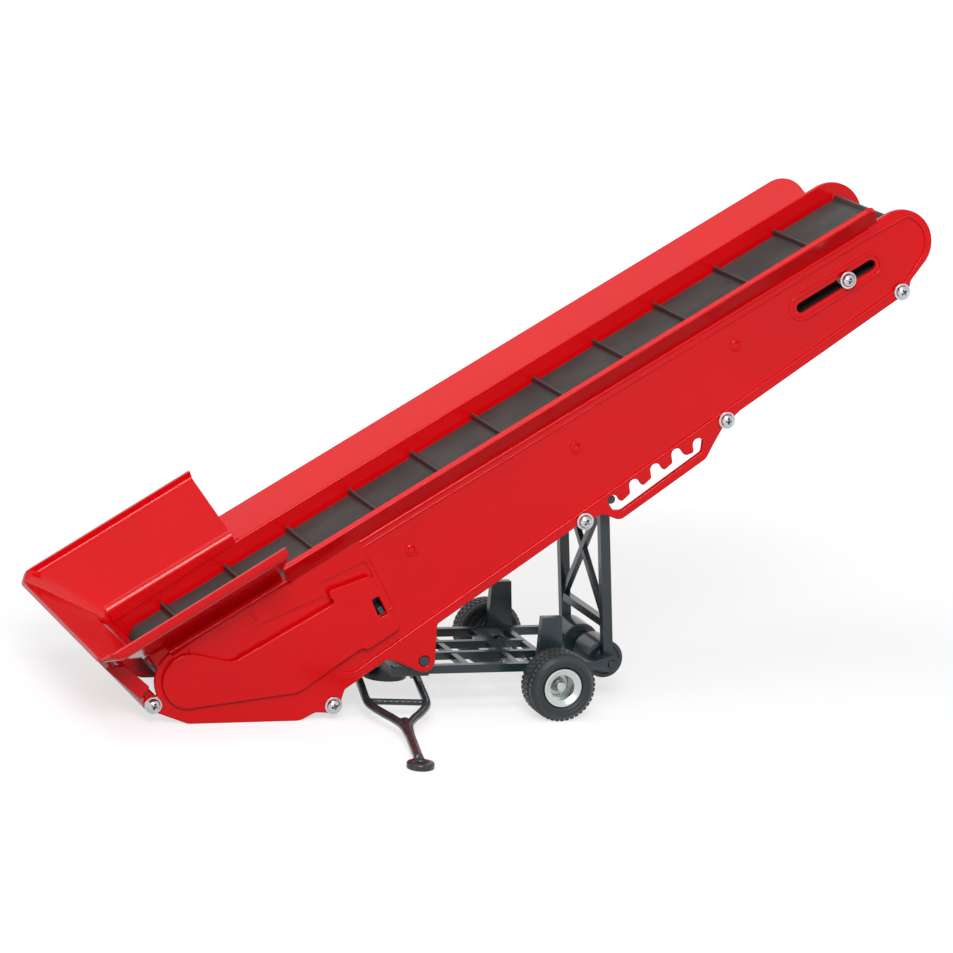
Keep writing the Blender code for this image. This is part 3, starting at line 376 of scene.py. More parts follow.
def shifted(point, corner):
    """A corner with its radius, given from a point."""
    return (point[0] + corner[0], point[1] + corner[1], corner[2])


def rack_slot():
    """The notched window that the ladder's top rod drops into."""
    loop = []
    for here, after in zip(NOTCHES, NOTCHES[1:] + (None,)):
        loop += arc(here, NOTCH_R, 190, 40, 12)
        if after:
            loop += [shifted(here, TOOTH[0]), shifted(after, TOOTH[1])]
    loop.append(shifted(NOTCHES[-1], WINDOW_TOP))
    loop += [shifted(NOTCHES[0], corner) for corner in WINDOW_FOOT]
    return rounded(loop)


def panel_outline(rim):
    """The sunk panel of a plate's outer face, inside a raised rim."""
    head = boom(SPAN, 0)
    inner = PLATE_END - 1.9
    low = rim / cos(radians(EDGE_SLOPE))
    corners = [(*boom(PANEL_FROM, PANEL_TOP), 1.0), (*boom(SPAN - 8, PANEL_TOP), 6.0)]
    corners += arc(head, inner, SLOPE + 50, SLOPE - 58, 28)
    corners += [(107.0, lower_edge(107.0) + low, 4.0)]
    corners += [(-59.0, lower_edge(-59.0) + low, 1.0)]
    corners += [(*boom(along, above), radius) for along, above, radius in PANEL_END]
    return rounded(corners)


def cover_outline():
    """The drive cover, round at the tail and stepped at its upper end."""
    corners = arc(TAIL, COVER_R, 80, 265, 40)
    corners += [(*boom(along, above), radius) for along, above, radius in COVER_CORNERS]
    return rounded(corners)


def switch_window(grow=0.0):
    """The switch window, grown by so much on every side."""
    middle = WINDOW_MIDDLE
    grown = [
        (a + (grow if a > middle[0] else -grow), b + (grow if b > middle[1] else -grow))
        for a, b in SWITCH_WINDOW
    ]
    return rounded([(*boom(a, b), WINDOW_CORNER) for a, b in grown])


# ------------------------------------------------------------------ modelling tools


def scratch(bm):
    """A mesh object that lasts only while modifiers work on it."""
    data = bpy.data.meshes.new("scratch")
    bm.to_mesh(data)
    bm.free()
    obj = bpy.data.objects.new("scratch", data)
    bpy.context.scene.collection.objects.link(obj)
    return obj


def settled(obj):
    """The bmesh of a scratch object with its modifiers done; the object goes."""
    bpy.context.view_layer.update()
    data = bpy.data.meshes.new_from_object(obj.evaluated_get(bpy.context.evaluated_depsgraph_get()))
    bm = bmesh.new()
    bm.from_mesh(data)
    bpy.data.meshes.remove(data)
    bpy.data.objects.remove(obj, do_unlink=True)
    return bm


def modified(bm, *steps):
    """A bmesh after modifiers, each given as its type and its settings."""
    obj = scratch(bm)
    for kind, values in steps:
        step = obj.modifiers.new(kind, kind)
        for key, value in values.items():
            setattr(step, key, value)
    return settled(obj)


def carved(bm, *others):
    """A bmesh with others cut from it."""
    obj = scratch(bm)
    helpers = [scratch(other) for other in others]
    for helper in helpers:
        step = obj.modifiers.new("carve", "BOOLEAN")
        step.operation = "DIFFERENCE"
        step.object = helper
        step.solver = "EXACT"
    made = settled(obj)
    for helper in helpers:
        bpy.data.objects.remove(helper, do_unlink=True)
    return made


def joined(*meshes):
    """One bmesh from several."""
    whole = bmesh.new()
    for bm in meshes:
        data = bpy.data.meshes.new("joined")
        bm.to_mesh(data)
        bm.free()
        whole.from_mesh(data)
        bpy.data.meshes.remove(data)
    return whole


def moved(bm, matrix):
    """A bmesh after a move, its faces still turned outwards."""
    bmesh.ops.transform(bm, verts=bm.verts, matrix=matrix)
    if matrix.determinant() < 0:
        bmesh.ops.reverse_faces(bm, faces=bm.faces)
    return bm


def slab(loops, low, high, edge):
    """A flat outline in X and Z with holes, thick in Y from low to high, its edges rounded."""
    curve = bpy.data.curves.new("slab", "CURVE")
    curve.dimensions = "2D"
    curve.fill_mode = "BOTH"
    curve.extrude = (high - low) / 2 - edge
    curve.bevel_depth = edge
    curve.bevel_resolution = 2
    curve.offset = -edge
    for loop in loops:
        spline = curve.splines.new("POLY")
        spline.points.add(len(loop) - 1)
        spline.use_cyclic_u = True
        for point, (x, y) in zip(spline.points, loop):
            point.co = (x, y, 0, 1)
    obj = bpy.data.objects.new("slab", curve)
    bpy.context.scene.collection.objects.link(obj)
    bm = settled(obj)
    bmesh.ops.remove_doubles(bm, verts=bm.verts, dist=FINE)
    stand = Matrix.Translation((0, (low + high) / 2, 0)) @ Matrix.Rotation(pi / 2, 4, "X")
    bmesh.ops.transform(bm, verts=bm.verts, matrix=stand)
    bmesh.ops.recalc_face_normals(bm, faces=bm.faces)
    return bm


def side_slab(loops, side, inner, outer, edge):
    """A slab on the near side (-1) or the far side (1), between two distances from the middle."""
    low, high = sorted((side * inner, side * outer))
    return slab(loops, low, high, edge)


def turned(profile, centre, side=1, steps=48):
    """A profile of radius and distance outwards, turned about a line along Y."""
    bm = bmesh.new()
    rings = []
    for radius, out in profile:
        if radius == 0:
            rings.append([bm.verts.new((centre[0], side * out, centre[1]))])
            continue
        ring = []
        for i in range(steps):
            a = 2 * pi * i / steps
            ring.append(bm.verts.new((centre[0] + radius * cos(a), side * out, centre[1] + radius * sin(a))))
        rings.append(ring)
    pairs = list(zip(rings, rings[1:]))
    if len(rings[0]) > 1 and len(rings[-1]) > 1:
        pairs.append((rings[-1], rings[0]))
    for first, second in pairs:
        for i in range(steps):
            j = (i + 1) % steps
            corners = [first[i % len(first)], first[j % len(first)]]
            corners += [second[j % len(second)], second[i % len(second)]]
            bm.faces.new(list(dict.fromkeys(corners)))
    bmesh.ops.recalc_face_normals(bm, faces=bm.faces)
    return bm


def tube(path, radius, sides=16, closed=False):
    """A round bar along points, either a ring or with capped ends."""
    curve = bpy.data.curves.new("tube", "CURVE")
    curve.dimensions = "3D"
    curve.bevel_depth = radius
    curve.bevel_resolution = sides // 4
    curve.use_fill_caps = True
    spline = curve.splines.new("POLY")
    spline.points.add(len(path) - 1)
    spline.use_cyclic_u = closed
    for point, place in zip(spline.points, path):
        point.co = (*place, 1)
    obj = bpy.data.objects.new("tube", curve)
    bpy.context.scene.collection.objects.link(obj)
    bm = settled(obj)
    bmesh.ops.remove_doubles(bm, verts=bm.verts, dist=FINE)
    return bm


def smooth_path(points, each=8):
    """Points on a smooth curve through the given ones."""
    points = [Vector(p) for p in points]
    path = []
    for i in range(len(points) - 1):
        a, b, c, d = points[max(i - 1, 0)], points[i], points[i + 1], points[min(i + 2, len(points) - 1)]
        for k in range(each):
            t = k / each
            bend = (2 * a - 5 * b + 4 * c - d) * t**2 + (3 * b - a - 3 * c + d) * t**3
            path.append((2 * b + (c - a) * t + bend) / 2)
    return path + [points[-1]]


def sheet(grid):
    """A bmesh surface through rows of points."""
    bm = bmesh.new()
    rows = [[bm.verts.new(p) for p in row] for row in grid]
    for low, high in zip(rows, rows[1:]):
        for i in range(len(low) - 1):
            bm.faces.new((low[i], low[i + 1], high[i + 1], high[i]))
    return bm


def loft(rings):
    """A closed bmesh through rings of points with flat ends."""
    bm = bmesh.new()
    made = [[bm.verts.new(p) for p in ring] for ring in rings]
    count = len(rings[0])
    for low, high in zip(made, made[1:]):
        for i in range(count):
            j = (i + 1) % count
            bm.faces.new((low[i], low[j], high[j], high[i]))
    bm.faces.new(made[0])
    bm.faces.new(made[-1])
    bmesh.ops.recalc_face_normals(bm, faces=bm.faces)
    return bm


def piece(name, bm, body, finish, replaced=(), crease=38):
    """The finished object of a bmesh in machine millimetres, riding on a body."""
    moved(bm, Matrix.Translation(ORIGIN) @ Matrix.Scale(MM, 4))
    data = bpy.data.meshes.new(name)
    bm.to_mesh(data)
    bm.free()
    data.shade_smooth()
    data.set_sharp_from_angle(angle=radians(crease))
    data.materials.append(bpy.data.materials[LOOK + finish])
    obj = bpy.data.objects.new(name, data)
    bpy.context.scene.collection.objects.link(obj)
    shade = obj.modifiers.new("flats", "WEIGHTED_NORMAL")
    shade.keep_sharp = True
    shade.weight = 80
    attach(obj, body)
    if replaced:
        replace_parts(obj, *replaced)
    return obj


def dress(node, finish, edge):
    """Gives a frame node its finish and rounded edges."""
    obj = frame["nodes"][node]
    obj.data.materials.clear()
    obj.data.materials.append(bpy.data.materials[LOOK + finish])
    obj.data.shade_smooth()
    weld = obj.modifiers.new("weld", "WELD")
    weld.merge_threshold = 0.01 * MM
    bevel = obj.modifiers.new("edges", "BEVEL")
    bevel.width = edge * MM
    bevel.segments = 2
    bevel.limit_method = "ANGLE"
    bevel.angle_limit = radians(40)
    shade = obj.modifiers.new("flats", "WEIGHTED_NORMAL")
    shade.weight = 80


# ------------------------------------------------------------------ finishes


class Nodes:
    """Adds shader nodes and links them by socket name."""

    def __init__(self, tree):
        self.tree = tree

    def add(self, kind, inputs=None, **settings):
        node = self.tree.nodes.new(kind)
        for key, value in settings.items():
            setattr(node, key, value)
        for key, value in (inputs or {}).items():
            socket = node.inputs[key]
            if isinstance(value, bpy.types.NodeSocket):
                self.tree.links.new(value, socket)
            else:
                socket.default_value = value
        return node

    def mix(self, factor, first, second):
        node = self.add("ShaderNodeMix", data_type="RGBA")
        for socket, value in ((node.inputs[0], factor), (node.inputs[6], first), (node.inputs[7], second)):
            if isinstance(value, bpy.types.NodeSocket):
                self.tree.links.new(value, socket)
            else:
                socket.default_value = value
        return node.outputs[2]

    def math(self, operation, first, second):
        node = self.add("ShaderNodeMath", operation=operation)
        for socket, value in zip(node.inputs, (first, second)):
            if isinstance(value, bpy.types.NodeSocket):
                self.tree.links.new(value, socket)
            else:
                socket.default_value = value
        return node.outputs[0]


def effect(name, inputs, outputs):
    """An empty shader group with named inputs and outputs."""
    tree = bpy.data.node_groups.new(name, "ShaderNodeTree")
    for label, value in inputs.items():
        socket = tree.interface.new_socket(label, in_out="INPUT", socket_type="NodeSocketFloat")
        socket.default_value = value
    for label in outputs:
        tree.interface.new_socket(label, in_out="OUTPUT", socket_type="NodeSocketFloat")
    nodes = Nodes(tree)
    return nodes, nodes.add("NodeGroupInput").outputs, nodes.add("NodeGroupOutput")


def moulded_skin():
    """Fine moulding grain over a slow waviness."""
    nodes, given, out = effect("Moulded skin", {"Grain": 1500.0, "Wave": 60.0}, ("Height", "Sheen"))
    place = nodes.add("ShaderNodeTexCoord").outputs["Object"]
    grain = nodes.add("ShaderNodeTexNoise", {"Vector": place, "Scale": given["Grain"], "Detail": 3.0})
    wave = nodes.add("ShaderNodeTexNoise", {"Vector": place, "Scale": given["Wave"], "Detail": 2.0})
    height = nodes.math("ADD", nodes.math("MULTIPLY", grain.outputs["Fac"], 0.35), wave.outputs["Fac"])
    nodes.tree.links.new(height, out.inputs["Height"])
    nodes.tree.links.new(nodes.math("SUBTRACT", wave.outputs["Fac"], 0.5), out.inputs["Sheen"])


def edge_wear():
    """Convex edges, broken up by a fine noise."""
    nodes, given, out = effect("Edge wear", {"From": 0.53, "To": 0.62}, ("Mask",))
    bend = nodes.add("ShaderNodeNewGeometry").outputs["Pointiness"]
    edges = nodes.add(
        "ShaderNodeMapRange", {"Value": bend, "From Min": given["From"], "From Max": given["To"]}
    ).outputs["Result"]
    place = nodes.add("ShaderNodeTexCoord").outputs["Object"]
    noise = nodes.add("ShaderNodeTexNoise", {"Vector": place, "Scale": 700.0, "Detail": 4.0}).outputs["Fac"]
    nodes.tree.links.new(nodes.math("MULTIPLY", edges, noise), out.inputs["Mask"])


def settled_dust():
    """Fine dust on faces that look up, thicker in patches."""
    nodes, given, out = effect("Settled dust", {"Scale": 90.0, "Amount": 0.5}, ("Mask",))
    normal = nodes.add("ShaderNodeNewGeometry").outputs["Normal"]
    up = nodes.add("ShaderNodeSeparateXYZ", {"Vector": normal}).outputs["Z"]
    upward = {"Value": up, "From Min": 0.1, "From Max": 1.0}
    facing = nodes.add("ShaderNodeMapRange", upward).outputs["Result"]
    place = nodes.add("ShaderNodeTexCoord").outputs["Object"]
    noise = nodes.add("ShaderNodeTexNoise", {"Vector": place, "Scale": given["Scale"], "Detail": 6.0})
    patch = nodes.add(
        "ShaderNodeMapRange", {"Value": noise.outputs["Fac"], "From Min": 0.35, "From Max": 0.75}
    ).outputs["Result"]
    mask = nodes.math("MULTIPLY", nodes.math("MULTIPLY", facing, patch), given["Amount"])
    nodes.tree.links.new(mask, out.inputs["Mask"])


def rubber_grain():
    """Pebbled rubber with a faint pull along the belt."""
    nodes, given, out = effect("Rubber grain", {"Pebble": 1800.0, "Pull": 160.0}, ("Height", "Patch"))
    place = nodes.add("ShaderNodeTexCoord").outputs["Object"]
    cells = {"Vector": place, "Scale": given["Pebble"]}
    pebble = nodes.add("ShaderNodeTexVoronoi", cells, feature="SMOOTH_F1")
    turn = nodes.add("ShaderNodeMapping", {"Vector": place})
    turn.inputs["Rotation"].default_value = (0, radians(SLOPE), 0)
    turn.inputs["Scale"].default_value = (0.25, 1.6, 1.0)
    pull = nodes.add("ShaderNodeTexNoise", {"Vector": turn.outputs[0], "Scale": given["Pull"], "Detail": 5.0})
    height = nodes.math("ADD", nodes.math("MULTIPLY", pebble.outputs["Distance"], 0.4), pull.outputs["Fac"])
    nodes.tree.links.new(height, out.inputs["Height"])
    nodes.tree.links.new(nodes.math("SUBTRACT", pull.outputs["Fac"], 0.5), out.inputs["Patch"])


def turned_lines():
    """Fine tool marks of turned and rolled metal."""
    nodes, given, out = effect("Turned lines", {"Scale": 900.0}, ("Height",))
    place = nodes.add("ShaderNodeTexCoord").outputs["Object"]
    squash = nodes.add("ShaderNodeMapping", {"Vector": place})
    squash.inputs["Scale"].default_value = (1.0, 6.0, 1.0)
    grain = {"Vector": squash.outputs[0], "Scale": given["Scale"], "Detail": 2.0}
    noise = nodes.add("ShaderNodeTexNoise", grain)
    nodes.tree.links.new(noise.outputs["Fac"], out.inputs["Height"])


def placed(nodes, name, **values):
    """A shared effect inside a material, with its own values."""
    group = nodes.add("ShaderNodeGroup", node_tree=bpy.data.node_groups[name])
    for key, value in values.items():
        group.inputs[key].default_value = value
    return group.outputs


def fresh_material(name, metallic=0.0, level=0.5, coat=0.0):
    """A new material and its Principled shader with the steady values set on its sockets."""
    material = bpy.data.materials.new(LOOK + name)
    material.use_nodes = True
    nodes = Nodes(material.node_tree)
    shader = material.node_tree.nodes["Principled BSDF"]
    shader.inputs["Metallic"].default_value = metallic
    shader.inputs["Specular IOR Level"].default_value = level
    shader.inputs["Coat Weight"].default_value = coat
    return nodes, shader


def shaded(colour, gain):
    return (*[min(1.0, channel * gain) for channel in colour], 1)


def finish_with(nodes, shader, colour, roughness, height, strength, depth):
    """Links a material's colour and roughness, and a bump from its height."""
    links = nodes.tree.links
    links.new(colour, shader.inputs["Base Color"])
    links.new(roughness, shader.inputs["Roughness"])
    bump = nodes.add("ShaderNodeBump", {"Height": height, "Strength": strength, "Distance": depth * MM})
    links.new(bump.outputs["Normal"], shader.inputs["Normal"])


def gloss_red(colour):
    nodes, shader = fresh_material("red_plastic", level=0.2)
    skin = placed(nodes, "Moulded skin", Grain=1600.0, Wave=38.0)
    tone = nodes.math("ADD", nodes.math("MULTIPLY", skin["Sheen"], 1.2), 0.5)
    base = nodes.mix(tone, shaded(colour, 0.92), shaded(colour, 1.06))
    rough = nodes.math("ADD", nodes.math("MULTIPLY", skin["Sheen"], 0.1), 0.17)
    finish_with(nodes, shader, base, rough, skin["Height"], 0.12, 0.05)


def satin_dark(colour):
    nodes, shader = fresh_material("dark_plastic", level=0.5)
    skin = placed(nodes, "Moulded skin", Grain=1300.0, Wave=70.0)
    wear = placed(nodes, "Edge wear", From=0.53, To=0.66)["Mask"]
    dust = placed(nodes, "Settled dust", Scale=120.0, Amount=0.25)["Mask"]
    tone = nodes.math("ADD", skin["Sheen"], 0.5)
    base = nodes.mix(tone, shaded(colour, 0.8), shaded(colour, 1.25))
    base = nodes.mix(nodes.math("MULTIPLY", wear, 0.35), base, (0.13, 0.16, 0.17, 1))
    base = nodes.mix(dust, base, (0.09, 0.1, 0.1, 1))
    rough = nodes.math("ADD", nodes.math("MULTIPLY", skin["Sheen"], 0.2), 0.24)
    finish_with(nodes, shader, base, rough, skin["Height"], 0.2, 0.06)


def belt_rubber(colour):
    nodes, shader = fresh_material("belt_rubber", level=0.35)
    grain = placed(nodes, "Rubber grain", Pebble=2200.0, Pull=130.0)
    wear = placed(nodes, "Edge wear", From=0.52, To=0.64)["Mask"]
    dust = placed(nodes, "Settled dust", Scale=60.0, Amount=0.3)["Mask"]
    tone = nodes.math("ADD", nodes.math("MULTIPLY", grain["Patch"], 1.4), 0.5)
    base = nodes.mix(tone, shaded(colour, 0.84), shaded(colour, 1.18))
    base = nodes.mix(nodes.math("MULTIPLY", wear, 0.3), base, (0.16, 0.16, 0.16, 1))
    base = nodes.mix(dust, base, (0.15, 0.148, 0.14, 1))
    rough = nodes.math("ADD", nodes.math("MULTIPLY", grain["Patch"], 0.3), 0.62)
    finish_with(nodes, shader, base, rough, grain["Height"], 0.35, 0.06)


def cleat_rubber(colour):
    nodes, shader = fresh_material("cleat_rubber", level=0.4)
    grain = placed(nodes, "Rubber grain", Pebble=2600.0, Pull=260.0)
    wear = placed(nodes, "Edge wear", From=0.52, To=0.62)["Mask"]
    tone = nodes.math("ADD", grain["Patch"], 0.5)
    base = nodes.mix(tone, shaded(colour, 0.4), shaded(colour, 0.62))
    base = nodes.mix(nodes.math("MULTIPLY", wear, 0.4), base, (0.12, 0.12, 0.12, 1))
    rough = nodes.math("ADD", nodes.math("MULTIPLY", grain["Patch"], 0.3), 0.5)
    finish_with(nodes, shader, base, rough, grain["Height"], 0.3, 0.05)


def tyre_rubber(colour):
    nodes, shader = fresh_material("tyre_rubber", level=0.45)
    grain = placed(nodes, "Rubber grain", Pebble=1500.0, Pull=240.0)
    wear = placed(nodes, "Edge wear", From=0.52, To=0.62)["Mask"]
    dust = placed(nodes, "Settled dust", Scale=200.0, Amount=0.35)["Mask"]
    tone = nodes.math("ADD", grain["Patch"], 0.5)
    base = nodes.mix(tone, shaded(colour, 0.75), shaded(colour, 1.3))
    base = nodes.mix(nodes.math("MULTIPLY", wear, 0.5), base, (0.1, 0.115, 0.12, 1))
    base = nodes.mix(dust, base, (0.1, 0.1, 0.095, 1))
    rough = nodes.math("ADD", nodes.math("MULTIPLY", grain["Patch"], 0.25), 0.46)
    finish_with(nodes, shader, base, rough, grain["Height"], 0.3, 0.06)


def metal(name, colour, metallic, level, roughness, depth):
    nodes, shader = fresh_material(name, metallic=metallic, level=level)
    lines = placed(nodes, "Turned lines", Scale=1100.0)["Height"]
    skin = placed(nodes, "Moulded skin", Grain=900.0, Wave=220.0)
    wear = placed(nodes, "Edge wear", From=0.54, To=0.7)["Mask"]
    tone = nodes.math("ADD", skin["Sheen"], 0.5)
    base = nodes.mix(tone, shaded(colour, 0.88), shaded(colour, 1.08))
    base = nodes.mix(nodes.math("MULTIPLY", wear, 0.5), base, shaded(colour, 1.3))
    rough = nodes.math("ADD", nodes.math("MULTIPLY", lines, 0.16), roughness - 0.08)
    finish_with(nodes, shader, base, rough, lines, 0.25, depth)


def wrapped_cell(colour):
    nodes, shader = fresh_material("cell_wrap", level=0.5, coat=0.3)
    skin = placed(nodes, "Moulded skin", Grain=700.0, Wave=90.0)
    tone = nodes.math("ADD", skin["Sheen"], 0.5)
    base = nodes.mix(tone, shaded(colour, 0.85), shaded(colour, 1.2))
    rough = nodes.math("ADD", nodes.math("MULTIPLY", skin["Sheen"], 0.2), 0.35)
    finish_with(nodes, shader, base, rough, skin["Height"], 0.2, 0.03)


# ------------------------------------------------------------------ boom pieces


def fold_bead(side):
    """The raised bead that runs under the side board."""
    across = side * (PLATE_OUT - 0.15)
    path = [on_boom(along, across, BEAD_ABOVE) for along in (BEAD_FROM, BOARD_TO - 3)]
    return tube(path, BEAD_R, 12)


def panel_bead(rim, side):
    """The fine bead round a plate's sunk panel."""
    path = [Vector((x, side * (PLATE_OUT - 0.2), z)) for x, z in panel_outline(rim)]
    return tube(path, PANEL_BEAD_R, 12, closed=True)


def boss(at, side, face):
    """A small raised ring with a dimple, left by a core pin."""
    profile = [(0, face - 0.3), (0.7, face - 0.3), (1.1, face + 0.3), (1.3, face + 0.5)]
    profile += [(BOSS_R - 0.6, face + 0.5), (BOSS_R - 0.25, face + 0.32), (BOSS_R, face - 0.1)]
    profile += [(BOSS_R, face - 0.5), (0, face - 0.5)]
    return turned(profile, boom(*at), side, 28)


def board_ring(along, reach, side):
    """The board's section at one place: folded out of the plate at 45 degrees, with soft edges."""
    outer, inner = PLATE_OUT, PLATE_IN
    foot = PLATE_END - 0.2
    lean = BOARD_THICK * sqrt(0.5)
    outer_foot = foot + outer - inner - 2 * lean
    section = [(outer - 0.02, foot - 3.0), (outer - 0.02, outer_foot - 0.7)]
    section += [(outer + 0.12, outer_foot - 0.22), (outer + 0.45, outer_foot + 0.3)]
    back, crest = inner + reach + lean, foot + reach
    section += [(back - 0.1, crest - lean - 0.25), (back, crest - lean), (back - 0.05, crest - lean + 0.3)]
    section += [(inner + reach + 0.3, crest - 0.05), (inner + reach, crest)]
    section += [(inner + reach - 0.25, crest - 0.1)]
    section += [(inner + 0.5, foot + 0.42), (inner + 0.12, foot - 0.1), (inner + 0.02, foot - 0.7)]
    section += [(inner + 0.02, foot - 3.0)]
    return [on_boom(along, side * y, above) for y, above in section]


def side_board(side, start, end, reach, corner):
    """A flared board along the plate's top, its head end rounded or cut back."""
    spans, steps = 6, 8
    straight = end - corner - start
    rings = [board_ring(start, reach, side), board_ring(start + 0.25, reach, side)]
    rings += [board_ring(start + straight * i / spans, reach, side) for i in range(1, spans + 1)]
    slant = corner * sqrt(0.5)
    for i in range(1, steps + 1):
        turn = pi / 2 * i / steps
        rings.append(board_ring(end - corner + corner * sin(turn), reach - slant * (1 - cos(turn)), side))
    return loft(rings)


def slot_outline(grow=0.0):
    """The belt tensioner's slot, grown by so much."""
    ends = [boom(along, SLOT_ABOVE) for along in (SLOT_FROM, SLOT_TO)]
    return stadium(*ends, SLOT_HALF + grow)


def drive_recesses():
    """Cutters for the sunk bands above the drive cover."""
    cutters = []
    for places in RECESSES:
        band = rounded([(*boom(*place), 1.2) for place in places])
        cutters.append(side_slab([band], -1, PLATE_OUT - RECESS_DEEP, PLATE_OUT + 1, 0.0))
    return cutters


def gusset_ribs():
    """The short ribs under the hopper on the near plate."""
    across = -PLATE_OUT - 0.1
    paths = [[on_boom(at, across, RIB_FROM), on_boom(at + 0.3, across, RIB_TO)] for at in RIBS]
    return [tube(path, RIB_R, 12) for path in paths]


def side_plate(side, sizes):
    """One side of the boom with its sunk panel, slot, rack, lug, bosses and boards."""
    rim = sizes.rim_width / MM
    face = PLATE_OUT - sizes.panel_depth / MM
    holes = [slot_outline(), circle(HINGE, HINGE_R), rack_slot()]
    cutters = [side_slab([panel_outline(rim)], side, face, PLATE_OUT + 1, 0.0)]
    word, board_start, board_corner = "far", BOARD_FROM - 0.5, 6.5
    if side < 0:
        word, board_start, board_corner = "near", BOARD_FROM, 3.0
        holes.append(switch_window(0.3))
        cutters += drive_recesses()
    plate = side_slab([plate_outline(), *holes], side, PLATE_IN, PLATE_OUT, sizes.plate_edge / MM)
    plate = carved(plate, *cutters)
    bmesh.ops.recalc_face_normals(plate, faces=plate.faces)
    parts = [plate, side_slab([slot_outline(2.5), slot_outline(1.3)], side, face - 0.3, face + 0.45, 0.3)]
    parts += [boss(at, side, face) for at in BOSSES]
    parts += [fold_bead(side), panel_bead(rim, side)]
    parts.append(side_board(side, board_start, BOARD_TO, BOARD_REACH, board_corner))
    parts.append(side_board(side, SILL_FROM, BOARD_FROM + 1, SILL_REACH, 0.6))
    if side < 0:
        parts += gusset_ribs()
    piece("plate_" + word, joined(*parts), "boom", "red_plastic", ("side_plate_" + word,))


def drive_cover(sizes):
    """The cover over the drive, with its rounded edge and the switch window."""
    low = PLATE_OUT + GAP
    cover = side_slab([cover_outline(), switch_window()], -1, low, low + COVER_THICK, sizes.plate_edge / MM)
    skirt = side_slab([switch_window(0.9), switch_window(0.02)], -1, PLATE_IN, low + 0.4, 0.0)
    piece("cover_shell", joined(cover, skirt), "boom", "red_plastic", ("drive_cover",))


def wall_slit():
    """The cutter for the slit above the end wall's lower lip."""
    low, rim = Vector(WALL_LOW), Vector(WALL_RIM)
    run = (rim - low).normalized()
    away = Vector((run.y, -run.x)) * 4
    middle = low + run * SLIT_AT
    half = run * SLIT_WIDE / 2
    corners = (middle - half - away, middle + half - away, middle + half + away, middle - half + away)
    return slab([[boom(*corner) for corner in corners]], -SLIT_HALF, SLIT_HALF, 0.0)


def wing_column(side, share):
    """Points up one wing from its skirt to its lip, a share of the way from head to tail."""
    low_y, low = WING_LOW
    bend_y, bend = WING_BEND
    start = WING_TO + (WING_FROM - WING_TO) * share
    fold = FOLD_TO + (FOLD_FROM - FOLD_TO) * share
    lip = LIP_TO + (LIP_FROM - LIP_TO) * share
    return [
        on_boom(start, side * low_y, low - SKIRT - SKIRT_MORE * share),
        on_boom(start, side * low_y, low),
        on_boom((start + fold) / 2, side * (low_y + bend_y) / 2, (low + bend) / 2),
        on_boom(fold, side * bend_y, bend - 0.4 * share),
        on_boom(lip, side * bend_y, LIP_TOP - 0.5 * share),
    ]


def wall_column(side):
    """Points up one side of the end wall, from its lower lip to its rim."""
    low_u, low_v = WALL_LOW
    rim_u, rim_v = WALL_RIM
    y_low, y_high = side * WALL_HALF_LOW, side * WALL_HALF_HIGH
    return [
        on_boom(low_u + 0.7, y_low, low_v - 1.2),
        on_boom(low_u, y_low, low_v),
        on_boom((low_u + rim_u) / 2, (y_low + y_high) / 2, (low_v + rim_v) / 2),
        on_boom(rim_u, y_high, rim_v),
        on_boom(rim_u - 0.7, y_high + side * 0.4, rim_v + 0.6),
    ]


def hopper_shell(sizes):
    """Wings, corner strips and end wall folded from one sheet, with upright lips."""
    shares = (0.0, 0.04, 0.35, 0.68, 1.0)
    columns = [wing_column(-1, share) for share in shares]
    columns += [wall_column(-1), wall_column(1)]
    columns += [wing_column(1, share) for share in shares[::-1]]
    radius = sizes.fold_radius / MM
    shell = modified(
        sheet(columns),
        ("BEVEL", {"width": radius, "segments": 4, "limit_method": "ANGLE", "angle_limit": radians(12)}),
        ("SOLIDIFY", {"thickness": SHEET_THICK, "offset": -1.0, "use_even_offset": True}),
        ("BEVEL", {"width": 0.3, "segments": 2, "limit_method": "ANGLE", "angle_limit": radians(55)}),
    )
    shell = carved(shell, wall_slit())
    piece("hopper_shell", shell, "boom", "red_plastic", ("hopper",), 30)


def belt_point(travel, lift):
    """A point at a distance round the outside of the belt, and so far above it."""
    half = pi * BELT_OUT
    travel %= BELT_LAP
    if travel < SPAN:
        return boom(travel, BELT_OUT + lift)
    if travel < SPAN + half:
        turn = pi / 2 - (travel - SPAN) / BELT_OUT
        return boom(SPAN + (BELT_OUT + lift) * cos(turn), (BELT_OUT + lift) * sin(turn))
    if travel < 2 * SPAN + half:
        return boom(2 * SPAN + half - travel, -BELT_OUT - lift)
    turn = -pi / 2 - (travel - 2 * SPAN - half) / BELT_OUT
    return boom((BELT_OUT + lift) * cos(turn), (BELT_OUT + lift) * sin(turn))


def belt_band():
    """The endless band round both rollers."""
    loops = []
    for lift in (0, BELT_IN - BELT_OUT):
        loops.append([belt_point(BELT_LAP * i / BELT_STEPS, lift) for i in range(BELT_STEPS)])
    band = slab(loops, -BELT_HALF, BELT_HALF, 0.2)
    piece("belt_band", band, "boom", "belt_rubber", ("belt",))


